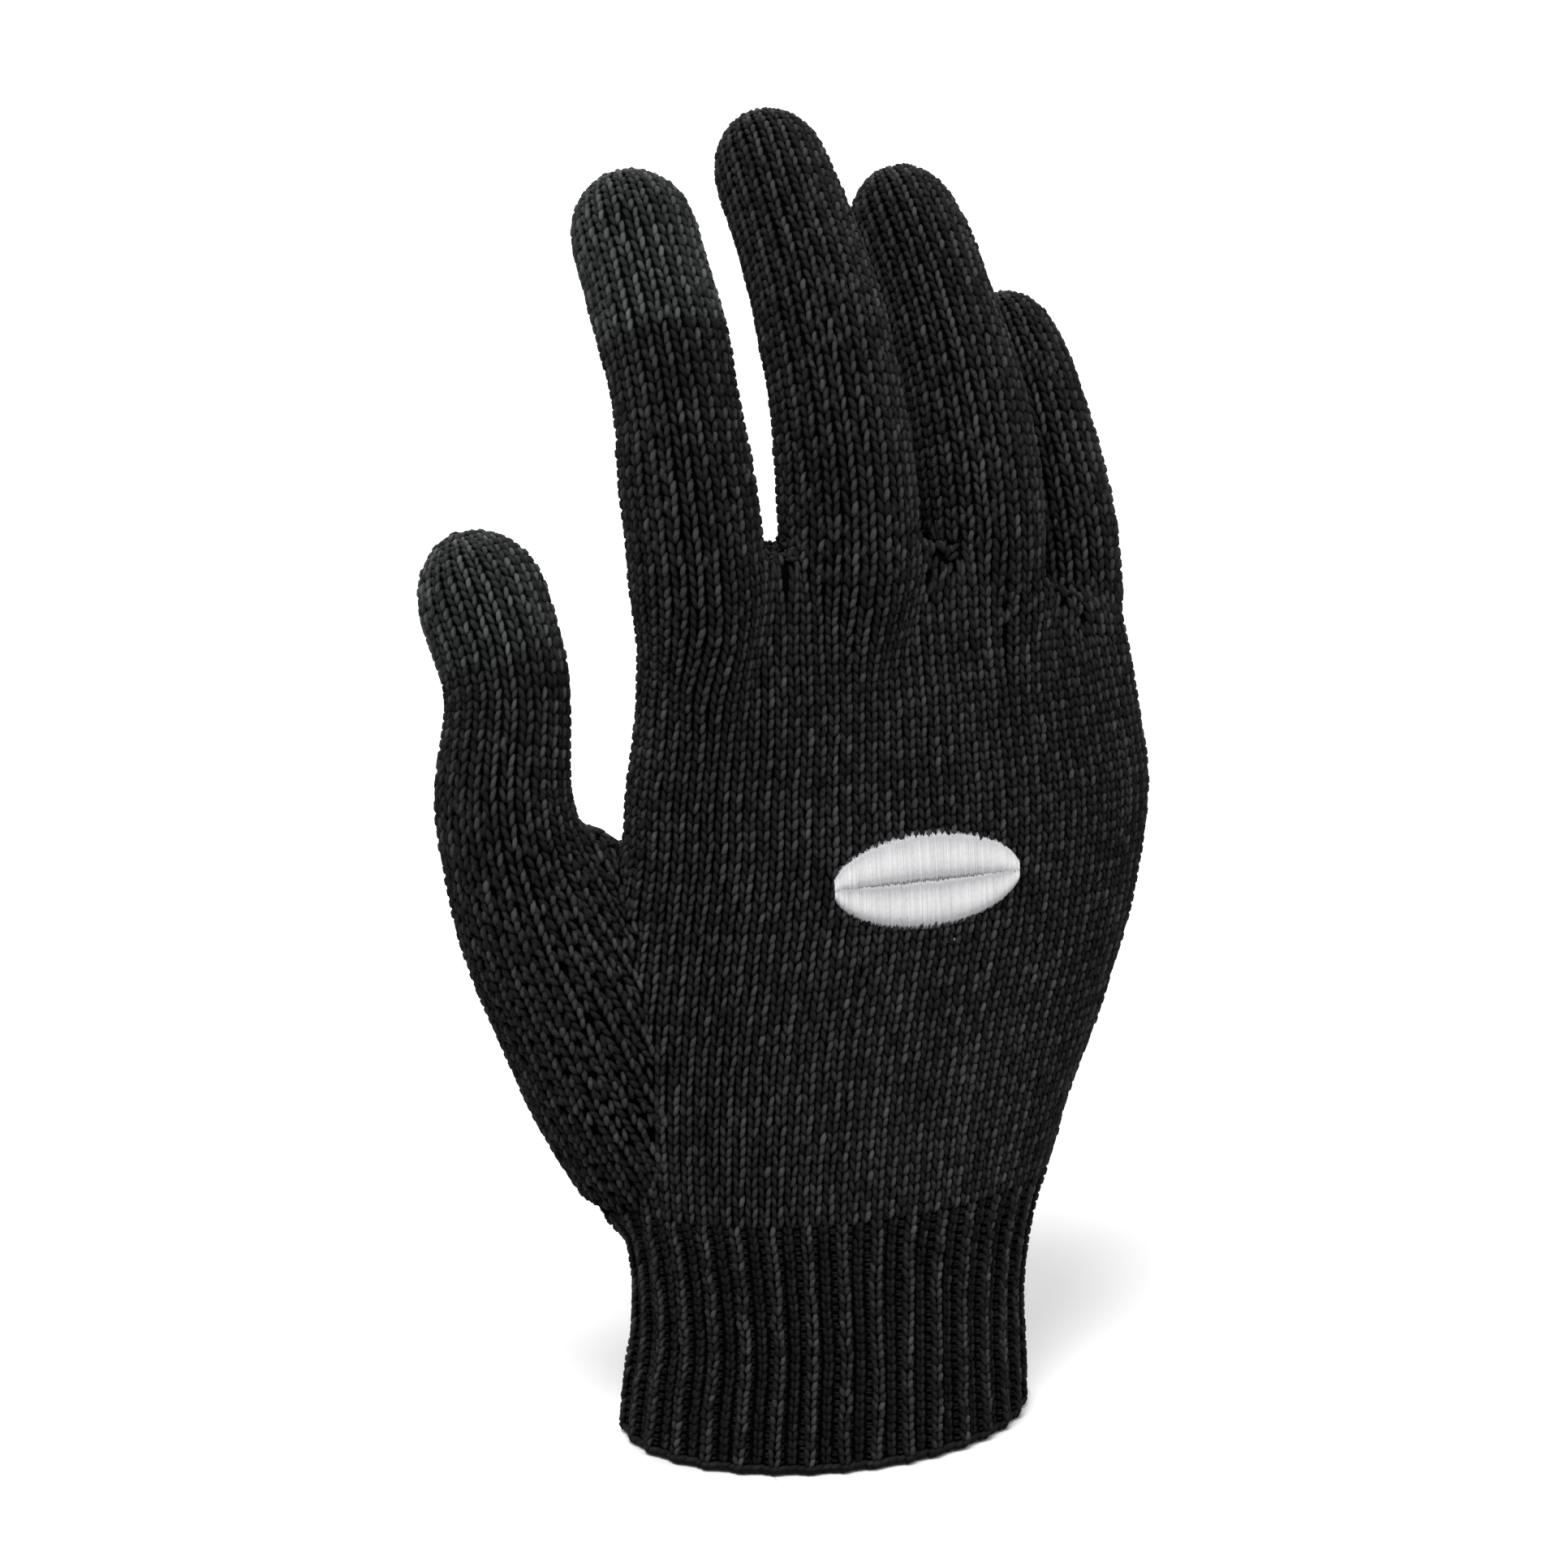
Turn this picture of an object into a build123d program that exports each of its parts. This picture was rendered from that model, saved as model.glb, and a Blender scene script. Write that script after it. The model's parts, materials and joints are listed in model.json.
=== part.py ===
"""Right-hand knitted touchscreen glove, in the shape it takes on a relaxed hand.

Frame: origin at the centre of the cuff opening, in the plane of the hem. +Z runs up the
fingers, the back of the hand faces -Y, the palm faces +Y and the thumb is on the -X side.
Every knitted piece is a hollow tube or shell with one fabric wall. Each finger is cut at its
joints. A joint's fold is the band of knit that crumples on the palm side and stretches on
the back, so it is a piece of its own between the two stiffer tubes.
"""
import math
import os

from build123d import *

# ------------------------------------------------------------------ driving dimensions, mm
WALL = 1.8                # thickness of the knit
JOINT_GAP = 0.3           # clearance of a cut tube from the hinge axis
HEM_TOP = 8.0             # height of the turned hem
CUFF_TOP = 38.0           # height of the ribbed cuff
WEB_TOP = 150.0           # height of the crotch between the long fingers
WEB_SLOPE = ((18.0, 0.0), (60.0, 17.6))   # x and drop of the crotch line, down to the little finger
WEDGE_CLEARANCE = 1.2     # degrees each side, so that a joint at its limit stays clear
WEDGE_OVERRUN = 6.5       # a wedge reaches this far past the tube, which bows out on the palm side
START_OVERRUN = 1.0       # a cavity starts this far before its tube, so the two never share a face

# A finger's root, grown out of the hand: share of its length inside, and its radius against the root's
ROOT_GROWTH = ((0.0, 0.70), (0.5, 0.90), (0.8, 0.99))

# A digit's closed end: share of its last length, and its width and depth against the end radius
DOME = ((0.46, 0.97, 1.02), (0.74, 0.82, 0.93), (0.92, 0.52, 0.62), (1.0, 0.22, 0.26))

# The hand from hem to finger roots: centre x, centre y, height, half width, half thickness
HAND_STATIONS = [
    (0.0, 0.0, 0.0, 36.2, 27.8),
    (0.4, 0.0, 8.0, 35.6, 27.2),
    (1.0, 0.0, 20.0, 34.4, 25.8),
    (1.4, 0.0, 31.0, 35.4, 24.4),
    (3.4, 0.5, 47.0, 39.6, 22.2),
    (7.4, 1.0, 70.0, 44.6, 19.6),
    (11.4, 1.8, 90.0, 47.4, 17.8),
    (13.0, 1.8, 106.0, 47.6, 16.2),
    (12.6, 1.4, 122.0, 45.8, 14.4),
    (11.6, 0.8, 137.0, 44.0, 11.8),
    (11.0, 0.4, WEB_TOP, 42.6, 8.6),
]

# Each digit: start of its tube inside the hand, place of its root hinge, side lean, then the
# tilt toward the palm, length and end radius of each length of tube, all from the root hinge
DIGITS = {
    "index": {
        "inside": (-18.0, 0.5, 100.0), "hinge": (-23.8, 0.0, 157.0), "lean": -2.4, "turn": 0.0,
        "tilts": (14, 27, 38), "lengths": (18.5, 20.5, 20.5), "root_radius": 11.1,
        "radii": (10.5, 10.3, 10.0), "flexion": (45, 60, 36), "extension": (10, 10, 6),
    },
    "middle": {
        "inside": (3.2, 0.0, 100.0), "hinge": (3.0, -2.2, 157.0), "lean": -0.6, "turn": 0.0,
        "tilts": (16, 34, 44), "lengths": (21.5, 25.0, 25.6), "root_radius": 11.5,
        "radii": (10.9, 10.3, 9.4), "flexion": (45, 60, 36), "extension": (10, 10, 6),
    },
    "ring": {
        "inside": (27.6, 1.5, 100.0), "hinge": (29.0, 2.4, 154.0), "lean": -1.6, "turn": 0.0,
        "tilts": (17, 35, 47), "lengths": (18.5, 23.5, 22.4), "root_radius": 10.9,
        "radii": (10.3, 9.9, 9.2), "flexion": (45, 60, 36), "extension": (10, 10, 6),
    },
    "little": {
        "inside": (43.4, 4.5, 96.0), "hinge": (49.2, 9.8, 143.0), "lean": -3.0, "turn": 0.0,
        "tilts": (17, 30, 44), "lengths": (14.0, 18.5, 17.4), "root_radius": 9.6,
        "radii": (9.1, 8.7, 8.0), "flexion": (45, 55, 33), "extension": (10, 10, 6),
    },
    "thumb": {
        "hinge": (-52.2, 10.8, 108.0), "lean": 0.4, "turn": 25.0,
        "tilts": (13, 29), "lengths": (20.5, 26.5), "root_radius": 11.4,
        "radii": (10.4, 10.4), "flexion": (30, 55), "extension": (10, 10),
    },
}

# The thumb leaves the side of the hand through its own wide root: x, y, height, half width, half depth
DIGITS["thumb"]["root"] = [
    (-15.0, 6.0, 42.0, 14.0, 12.0),
    (-29.0, 8.0, 60.0, 17.2, 14.5),
    (-41.6, 9.0, 80.0, 15.2, 13.6),
    (-49.4, 9.8, 96.0, 12.9, 12.6),
]
SEGMENTS = {3: ("proximal_tube", "middle_tube", "tip_tube"), 2: ("proximal_tube", "tip_tube")}
FOLDS = {3: ("knuckle_fold", "middle_joint_fold", "tip_joint_fold"), 2: ("knuckle_fold", "tip_joint_fold")}
TOUCH_DIGITS = ("index", "thumb")   # their tips are knitted in conductive yarn
TOUCH_START = 0.40                  # share of the index finger's middle length where that yarn starts

TIP_SEAM_RADIUS = 3.4               # grafted closing at the end of each digit
TIP_SEAM_DEPTH = 2.6
TIP_SEAM_RAISE = 0.5
TIP_SEAM_CROWN = 8.0

# Darned stitches closing each crotch: name, centre, half sizes
CROTCH_SEAMS = [
    ("index_middle_crotch_seam", (-10.4, -1.0, WEB_TOP - 0.4), (2.0, 5.0, 1.4)),
    ("middle_ring_crotch_seam", (15.8, 0.0, WEB_TOP - 0.4), (2.0, 5.0, 1.4)),
    ("ring_little_crotch_seam", (39.6, 4.0, WEB_TOP - 9.2), (1.6, 4.0, 1.4)),
    ("thumb_crotch_seam", (-37.0, 7.0, 98.7), (2.4, 4.6, 2.2)),
]

EMBLEM_CENTRE = (12.0, 96.0)        # x and height of the stitched mark on the back
EMBLEM_SIZE = (17.0, 8.5)           # half width and half height of its outline
EMBLEM_BAND = 4.2                   # width of its satin-stitch band
EMBLEM_RAISE = 0.8                  # how proud of the knit it stands
BACKING_MARGIN = 2.5                # the backing shows this far around it, inside
BACKING_THICKNESS = 0.4

HEM_EXTRA = 0.5                     # the turned hem is this much thicker outside
ELASTIC_RADIUS = 0.35               # laid-in elastic thread of the cuff
ELASTIC_CLEARANCE = 0.1
ELASTIC_HEIGHTS = [10.0 + 4.0 * i for i in range(6)]
LABEL_WIDTH = 15.0                  # care label, sewn by its top edge inside the palm side of the cuff
LABEL_HEIGHT = 17.0
LABEL_THICKNESS = 0.4
LABEL_TOP = 36.0
LABEL_FACE = 21.0                   # distance of the label from the middle of the cuff
LABEL_STITCH_RADIUS = 0.4
LABEL_STITCHES = 4
LABEL_STITCH_DROP = 1.2   # the stitches sit this far below the label's top edge


# ------------------------------------------------------------------ helpers
def direction(tilt, lean, turn):
    """Unit vector of a tube tilted toward the palm and leaned sideways, with its hinge axis."""
    palm = Vector(math.sin(math.radians(turn)), math.cos(math.radians(turn)), 0)
    side = Vector(math.cos(math.radians(turn)), -math.sin(math.radians(turn)), 0)
    up = side * math.sin(math.radians(lean)) + Vector(0, 0, 1) * math.cos(math.radians(lean))
    hinge_axis = side * math.cos(math.radians(lean)) - Vector(0, 0, 1) * math.sin(math.radians(lean))
    along = up * math.cos(math.radians(tilt)) + palm * math.sin(math.radians(tilt))
    return along, hinge_axis


def oval(centre, along, across, half_width, half_depth):
    """An elliptical section square to `along`, its width along `across`."""
    flat_across = across - along * across.dot(along)
    plane = Plane(origin=centre, x_dir=flat_across, z_dir=along)
    return plane * Ellipse(half_width, half_depth)


def digit_joints(digit):
    """The hinge points of a digit, its end point, and the direction of each length of tube."""
    points = [Vector(*digit["hinge"])]
    directions = []
    for tilt, length in zip(digit["tilts"], digit["lengths"]):
        along, _ = direction(tilt, digit["lean"], digit["turn"])
        directions.append(along)
        points.append(points[-1] + along * length)
    return points, directions


def digit_tube(digit, inset):
    """One digit from inside the hand to its end, grown smaller by `inset` all over."""
    points, directions = digit_joints(digit)
    _, across = direction(0, digit["lean"], digit["turn"])
    sections = []
    if "root" in digit:
        root = [Vector(*row[:3]) for row in digit["root"]]
        if inset:
            root[0] = root[0] + (root[0] - root[1]).normalized() * START_OVERRUN
        for start, end, row in zip(root, root[1:] + points[:1], digit["root"]):
            sections.append(oval(start, (end - start).normalized(), across, row[3] - inset, row[4] - inset))
    else:
        start = Vector(*digit["inside"])
        along = (points[0] - start).normalized()
        start = start - along * (START_OVERRUN if inset else 0)
        for share, size in ROOT_GROWTH:
            middle = start + (points[0] - start) * share
            radius = digit["root_radius"] * size - inset
            sections.append(oval(middle, along, across, radius, radius))
    radii = (digit["root_radius"],) + tuple(digit["radii"])
    last = len(directions) - 1
    before = directions[0]
    for i, along in enumerate(directions):
        bisector = (before + along).normalized()
        sections.append(oval(points[i], bisector, across, radii[i] - inset, radii[i] - inset))
        length = (points[i + 1] - points[i]).length
        if i < last:
            radius = 0.5 * (radii[i] + radii[i + 1]) - inset
            sections.append(oval(points[i] + along * length * 0.5, along, across, radius, radius))
        before = along
    # the closed end: a blunt dome, deeper than it is wide, that stops at a small flat
    end = (points[-1] - points[-2]).length - 1.2 * inset
    for share, width, depth in DOME:
        centre = points[-2] + directions[-1] * end * share
        half_width = max(radii[-1] * width - inset, 0.5)
        half_depth = max(radii[-1] * depth - inset, 0.6)
        sections.append(oval(centre, directions[-1], across, half_width, half_depth))
    return loft(sections, ruled=True)


def hand_body(inset):
    """The hand from hem to crotch line, grown smaller by `inset`, its top sloped to the little finger."""
    sections = []
    for i, (x, y, z, half_width, half_depth) in enumerate(HAND_STATIONS):
        height = z - START_OVERRUN if inset > 0 and i == 0 else z
        centre = Vector(x, y, height)
        width, depth = half_width - inset, half_depth - inset
        sections.append(oval(centre, Vector(0, 0, 1), Vector(1, 0, 0), width, depth))
    body = loft(sections, ruled=True)
    top = WEB_TOP - max(inset, 0)
    (start_x, start_drop), (end_x, end_drop) = WEB_SLOPE
    above = Polyline((start_x, top - start_drop), (end_x, top - end_drop), (end_x, top + 20),
                     (-end_x, top + 20), (-end_x, top), close=True)
    return body - extrude(Plane.XZ * make_face(above), amount=60, both=True)


def slab(low, high):
    """A wide slab between two heights, for cutting the hand across."""
    return Pos(0, 0, (low + high) / 2) * Box(260, 260, high - low)


def by_height(shape):
    """The solids of a shape from the lowest centre to the highest."""
    return sorted(shape.solids(), key=lambda solid: solid.center(CenterOf.MASS).Z)


def fold_wedge(point, along, across, flexion, extension, radius):
    """The bow-tie prism about a hinge axis that leaves room for its flexion and its extension."""
    reach = radius + WEDGE_OVERRUN
    plane = Plane(origin=point, x_dir=across.cross(along), z_dir=across)
    front = math.radians(flexion / 2 + WEDGE_CLEARANCE)
    back = math.radians(extension / 2 + WEDGE_CLEARANCE)
    outline = [
        (0, JOINT_GAP),
        (-reach * math.cos(front), JOINT_GAP + reach * math.sin(front)),
        (-reach * math.cos(front), -JOINT_GAP - reach * math.sin(front)),
        (0, -JOINT_GAP),
        (reach * math.cos(back), -JOINT_GAP - reach * math.sin(back)),
        (reach * math.cos(back), JOINT_GAP + reach * math.sin(back)),
    ]
    face = plane * make_face(Polyline(*outline, close=True))
    return extrude(face, amount=radius + 1.0, both=True)


def half_space(point, along):
    """A block that covers everything beyond a plane square to `along`."""
    block = Plane(origin=point, x_dir=Vector(1, 0, 0), z_dir=along) * Box(80, 80, 80)
    return Pos(along * 40) * block


# ------------------------------------------------------------------ pieces
nodes = {}


def build_digit(name, digit):
    """Cut one digit at its joints; its tubes and folds become nodes. Returns its solid root, its cavity and
    the wedge cut out at its knuckle."""
    outer = digit_tube(digit, 0)
    cavity = digit_tube(digit, WALL)
    knit = outer - cavity
    points, directions = digit_joints(digit)
    _, across = direction(0, digit["lean"], digit["turn"])
    radii = (digit["root_radius"],) + tuple(digit["radii"])
    wedges = []
    before = directions[0]
    for i, along in enumerate(directions):
        bisector = (before + along).normalized()
        flexion, extension = digit["flexion"][i], digit["extension"][i]
        wedges.append(fold_wedge(points[i], bisector, across, flexion, extension, radii[i]))
        before = along
    tubes = by_height(knit - wedges)[1:]
    tubes[-1] = tip_seam(name, tubes[-1], points[-1], directions[-1], across)
    for segment, tube in zip(SEGMENTS[len(directions)], tubes):
        nodes[f"{name}_{segment}"] = tube
    for fold, wedge in zip(FOLDS[len(directions)], wedges):
        nodes[f"{name}_{fold}"] = knit & wedge
    root = by_height(outer - wedges[0])[0]
    return root, cavity, wedges[0]


def tip_seam(name, tube, end, along, across):
    """The grafted closing, a low crowned button let into the tube's end. Returns the tube without it."""
    plane = Plane(origin=end, x_dir=across, z_dir=along)
    height = TIP_SEAM_DEPTH + TIP_SEAM_RAISE
    plug = Pos(0, 0, height / 2 - TIP_SEAM_DEPTH) * Cylinder(TIP_SEAM_RADIUS, height)
    crown = Pos(0, 0, TIP_SEAM_RAISE - TIP_SEAM_CROWN) * Sphere(TIP_SEAM_CROWN)
    seam = plane * (plug & crown)
    nodes[f"{name}_tip_seam"] = seam
    return tube - seam


def build_touch_band():
    """The upper part of the index finger's middle tube is knitted in conductive yarn."""
    points, directions = digit_joints(DIGITS["index"])
    start = points[1] + (points[2] - points[1]) * TOUCH_START
    beyond = half_space(start, directions[1])
    tube = nodes["index_middle_tube"]
    nodes["index_touch_band"] = tube & beyond
    nodes["index_middle_tube"] = tube - beyond
    for name in TOUCH_DIGITS:
        nodes[f"{name}_touch_tip"] = nodes.pop(f"{name}_tip_tube")


def build_hand(roots, cavities, knuckle_wedges):
    """The hand's shell with the roots of all five digits, its crotch seams, the ribbed cuff and the hem."""
    shell = hand_body(0) - knuckle_wedges
    for root in roots:
        shell = shell + root
    shell = shell - hand_body(WALL)
    for cavity in cavities:
        shell = shell - cavity
    shell = max(shell.solids(), key=lambda solid: solid.volume)
    for name, centre, half_sizes in CROTCH_SEAMS:
        seam = Pos(*centre) * scale(Sphere(1.0), by=half_sizes)
        nodes[name] = seam
        shell = shell - seam
    nodes["hand_shell"] = shell & slab(CUFF_TOP, 260)
    nodes["cuff_rib"] = shell & slab(HEM_TOP, CUFF_TOP)
    nodes["cuff_hem"] = (hand_body(-HEM_EXTRA) - hand_body(WALL)) & slab(0, HEM_TOP)


def emblem_outline(grow):
    x, z = EMBLEM_CENTRE
    half_width, half_height = EMBLEM_SIZE
    face = Pos(x, z) * Ellipse(half_width + grow, half_height + grow)
    return extrude(Plane.XZ * face, amount=60)


def build_emblem():
    """A plain oval ring in satin stitch on the back of the hand, with its backing fabric inside."""
    ring = emblem_outline(0) - emblem_outline(-EMBLEM_BAND)
    nodes["emblem_stitching"] = (hand_body(-EMBLEM_RAISE) - hand_body(0)) & ring
    lining = hand_body(WALL) - hand_body(WALL + BACKING_THICKNESS)
    nodes["emblem_backing"] = lining & emblem_outline(BACKING_MARGIN)


def cuff_section(height, inset):
    """Centre x and the two half sizes of the cuff at a height."""
    for low, high in zip(HAND_STATIONS, HAND_STATIONS[1:]):
        if low[2] <= height <= high[2]:
            share = (height - low[2]) / (high[2] - low[2])
            x, _, _, half_width, half_depth = [a + (b - a) * share for a, b in zip(low, high)]
            return x, half_width - inset, half_depth - inset


def build_cuff_trim():
    """Elastic threads laid inside the cuff, and the care label sewn in by its top edge."""
    hoops = []
    for height in ELASTIC_HEIGHTS:
        x, half_width, half_depth = cuff_section(height, WALL + ELASTIC_RADIUS + ELASTIC_CLEARANCE)
        path = Pos(x, 0, height) * Ellipse(half_width, half_depth).edge()
        profile = Plane(origin=path @ 0, z_dir=path % 0) * Circle(ELASTIC_RADIUS)
        hoops.append(sweep(profile, path=path))
    nodes["cuff_elastic_threads"] = Compound(children=[hoop.solid() for hoop in hoops])

    x, _, half_depth = cuff_section(LABEL_TOP, 0)
    centre = (x, LABEL_FACE, LABEL_TOP - LABEL_HEIGHT / 2)
    label = Pos(*centre) * Box(LABEL_WIDTH, LABEL_THICKNESS, LABEL_HEIGHT)
    stitches = []
    outside = half_depth - WALL / 2
    inside = LABEL_FACE - LABEL_THICKNESS
    pitch = LABEL_WIDTH / LABEL_STITCHES
    for i in range(LABEL_STITCHES):
        across = x + (i - (LABEL_STITCHES - 1) / 2) * pitch
        place = Plane(origin=(across, inside, LABEL_TOP - LABEL_STITCH_DROP), z_dir=(0, 1, 0))
        stitches.append(extrude(place * Circle(LABEL_STITCH_RADIUS), amount=outside - inside))
    nodes["care_label"] = label - stitches
    nodes["label_stitches"] = Compound(children=[stitch.solid() for stitch in stitches])
    nodes["cuff_rib"] = nodes["cuff_rib"] - stitches


def build_glove():
    cut_digits = [build_digit(name, digit) for name, digit in DIGITS.items()]
    roots, cavities, knuckle_wedges = zip(*cut_digits)
    build_touch_band()
    build_hand(roots, cavities, list(knuckle_wedges))
    build_emblem()
    build_cuff_trim()


def print_hinges():
    """The hinge points and axes; turning by a positive angle curls the digit toward the palm."""
    for name, digit in DIGITS.items():
        points, _ = digit_joints(digit)
        _, across = direction(0, digit["lean"], digit["turn"])
        for number, point in enumerate(points[:-1]):
            place = [round(value, 4) for value in point]
            axis = [round(-value, 5) for value in across]
            print(name, number, "hinge at", place, "axis", axis)


build_glove()
print_hinges()
os.makedirs("parts", exist_ok=True)
for node_name, shape in nodes.items():
    export_step(shape, f"parts/{node_name}.step")
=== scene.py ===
"""A knitted right-hand touchscreen glove: every stitch is a mesh of its own, laid over a hollow base shell.

Geometry is worked out in millimetres, in the part's own frame, and turned to metres when a mesh is made.
Wales are the columns of stitches that run up the glove; courses are the rows across it.
"""

import json
import math

import bpy
import numpy as np
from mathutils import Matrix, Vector, noise
from mathutils.bvhtree import BVHTree
from mathutils.kdtree import KDTree


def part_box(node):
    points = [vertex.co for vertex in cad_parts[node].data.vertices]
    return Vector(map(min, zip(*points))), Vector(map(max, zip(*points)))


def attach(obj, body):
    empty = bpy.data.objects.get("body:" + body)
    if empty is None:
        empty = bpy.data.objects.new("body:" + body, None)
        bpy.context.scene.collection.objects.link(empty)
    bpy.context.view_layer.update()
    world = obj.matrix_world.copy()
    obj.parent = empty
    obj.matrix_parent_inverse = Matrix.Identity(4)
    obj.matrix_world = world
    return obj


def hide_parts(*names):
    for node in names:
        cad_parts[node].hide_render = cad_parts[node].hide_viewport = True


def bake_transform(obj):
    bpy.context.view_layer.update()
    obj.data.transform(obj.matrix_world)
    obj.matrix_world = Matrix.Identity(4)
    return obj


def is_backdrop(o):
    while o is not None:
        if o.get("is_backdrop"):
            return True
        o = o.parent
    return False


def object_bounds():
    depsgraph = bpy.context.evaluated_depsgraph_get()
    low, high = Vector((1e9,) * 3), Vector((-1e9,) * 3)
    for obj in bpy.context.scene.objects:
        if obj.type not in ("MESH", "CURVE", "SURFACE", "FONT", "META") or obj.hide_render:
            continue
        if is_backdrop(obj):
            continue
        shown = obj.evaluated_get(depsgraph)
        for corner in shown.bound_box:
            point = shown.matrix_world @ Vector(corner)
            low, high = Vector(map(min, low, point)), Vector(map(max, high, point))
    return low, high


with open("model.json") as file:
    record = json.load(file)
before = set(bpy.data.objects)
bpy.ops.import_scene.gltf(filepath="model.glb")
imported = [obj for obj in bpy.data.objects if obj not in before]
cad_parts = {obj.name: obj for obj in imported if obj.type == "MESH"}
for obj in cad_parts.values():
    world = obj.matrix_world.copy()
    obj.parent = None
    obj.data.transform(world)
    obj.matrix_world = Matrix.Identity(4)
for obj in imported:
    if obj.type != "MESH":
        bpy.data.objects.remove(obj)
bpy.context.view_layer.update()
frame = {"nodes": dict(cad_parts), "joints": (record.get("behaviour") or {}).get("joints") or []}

MM = 0.001
RNG = np.random.default_rng(20)
UP = np.array([0.0, 0.0, 1.0])

# ------------------------------------------------------------------ sizes, mm
STITCH_RISE = 0.85            # how far the stitches stand proud of the base shell
SHELL_THICKNESS = 1.3
VOXEL = 1.25
HAND_COURSE = 1.66            # from one row of stitches to the next
CUFF_COURSE = 1.42
CUFF_BOTTOM = 1.6
CUFF_KNIT_TOP = 41.5
RIBS = 34
RIB_DEPTH = 0.32
HAND_MIDDLE = 12.0            # x that parts the hand's knit into thumb side and little side
WALES = {"index": 12, "middle": 12, "ring": 12, "little": 10}   # on the back; as many on the palm
THUMB_WALES = 24

# Height, centre x, centre y, half width and half thickness of the hand, hem to finger roots
HAND = np.array([
    (-3.0, 0.0, 0.0, 36.2, 28.0),
    (8.0, 0.4, 0.0, 35.5, 27.0),
    (20.0, 1.0, 0.0, 34.4, 25.6),
    (31.0, 1.4, 0.0, 35.4, 24.2),
    (47.0, 3.4, 0.5, 39.6, 21.8),
    (70.0, 7.4, 1.0, 44.6, 18.8),
    (90.0, 11.4, 1.6, 47.4, 16.9),
    (106.0, 13.0, 1.6, 47.6, 15.4),
    (122.0, 12.6, 1.2, 45.8, 13.6),
    (137.0, 11.6, 0.8, 44.2, 11.6),
    (151.0, 11.0, 0.4, 42.6, 8.8),
])
WEB_TOP = 151.0
WEB_SLOPE_START = 18.0
WEB_SLOPE = 0.42
HAND_SQUARENESS = 2.25        # 2 is an ellipse; more is a flatter back and palm
ARCH = 5.0                    # how far the knuckles curl toward the palm at the little finger, mm

# The centreline's points inside the hand, the radii at those, at each hinge and at the pad, how far the pad
# stands out on the palm side, and a shift of the tip from where the frame has it, all in mm
DIGITS = {
    "index": {"inside": [(-17.0, 1.0, 100.0), (-21.3, -0.4, 130.0)],
              "radii": (7.6, 10.2, 11.3, 10.5, 10.3, 10.4), "pad": 0.8},
    "middle": {"inside": [(3.2, 0.6, 100.0), (3.1, -1.3, 130.0)],
               "radii": (8.6, 10.7, 11.6, 10.9, 10.2, 9.6), "pad": 0.3},
    "ring": {"inside": [(27.0, 1.4, 98.0), (28.4, 1.3, 128.0)],
             "radii": (8.0, 10.1, 11.0, 10.3, 9.9, 9.4), "pad": 0.3},
    "little": {"inside": [(42.6, 3.8, 94.0), (47.0, 6.8, 121.0)],
               "radii": (6.4, 8.7, 9.7, 9.2, 8.8, 8.2), "pad": 0.2},
    "thumb": {"inside": [(-17.0, 6.0, 34.0), (-29.0, 7.6, 54.0), (-42.4, 9.0, 80.0), (-49.4, 9.8, 96.0)],
              "radii": (12.8, 16.4, 14.8, 12.8, 11.4, 10.4, 10.8), "pad": 0.9,
              "tip_shift": (-9.4, 0.0, 1.6)},
}
FINGERS = ("index", "middle", "ring", "little")


# ------------------------------------------------------------------ small maths
def smoothstep(x, low, high):
    t = np.clip((np.asarray(x, float) - low) / (high - low), 0, 1)
    return t * t * (3 - 2 * t)


def unit(v):
    v = np.asarray(v, float)
    return v / np.maximum(np.linalg.norm(v, axis=-1, keepdims=True), 1e-9)


def hermite(t, h, start, end, start_slope, end_slope):
    """A cubic over a span h, read at its share t."""
    return ((2 * t ** 3 - 3 * t ** 2 + 1) * start + (t ** 3 - 2 * t ** 2 + t) * h * start_slope
            + (-2 * t ** 3 + 3 * t ** 2) * end + (t ** 3 - t ** 2) * h * end_slope)


def spline(knots, values, x):
    """Monotone cubic curve through the values at the knots, read at x."""
    knots = np.asarray(knots, float)
    values = np.asarray(values, float)
    if values.ndim == 1:
        values = values[:, None]
    h = np.diff(knots)[:, None]
    slope = np.diff(values, axis=0) / h
    tangent = np.zeros_like(values)
    before, after = slope[:-1], slope[1:]
    total = np.where(before + after == 0, 1, before + after)
    tangent[1:-1] = np.where(before * after > 0, 2 * before * after / total, 0)
    tangent[0] = slope[0]
    tangent[-1] = slope[-1]
    x = np.clip(np.atleast_1d(x), knots[0], knots[-1])
    k = np.clip(np.searchsorted(knots, x, side="right") - 1, 0, len(h) - 1)
    t = ((x - knots[k]) / h[k, 0])[:, None]
    return hermite(t, h[k], values[k], values[k + 1], tangent[k], tangent[k + 1])


# ------------------------------------------------------------------ the hand's surface
def palm_arch(x, z):
    """How far the hand's little-finger side curls toward the palm."""
    return ARCH * smoothstep(z, 108, 150) * np.clip((x - 18.0) / 37.0, 0, 1.2) ** 1.6


def hand_point(theta, z, inset=0.0):
    """A point of the hand's outer surface; theta 180 is the thumb side, 270 the back, 0 the little side."""
    z = np.asarray(z, float)
    x0, y0, a, b = spline(HAND[:, 0], HAND[:, 1:], z).T
    c, s = np.cos(theta), np.sin(theta)
    power = 2 / (2 + (HAND_SQUARENESS - 2) * smoothstep(z, 40, 80))
    x = x0 + (a - inset) * np.sign(c) * np.abs(c) ** power
    y = y0 + (b - inset) * np.sign(s) * np.abs(s) ** power
    return np.stack([x, y + palm_arch(x, z), z], -1)


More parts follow.
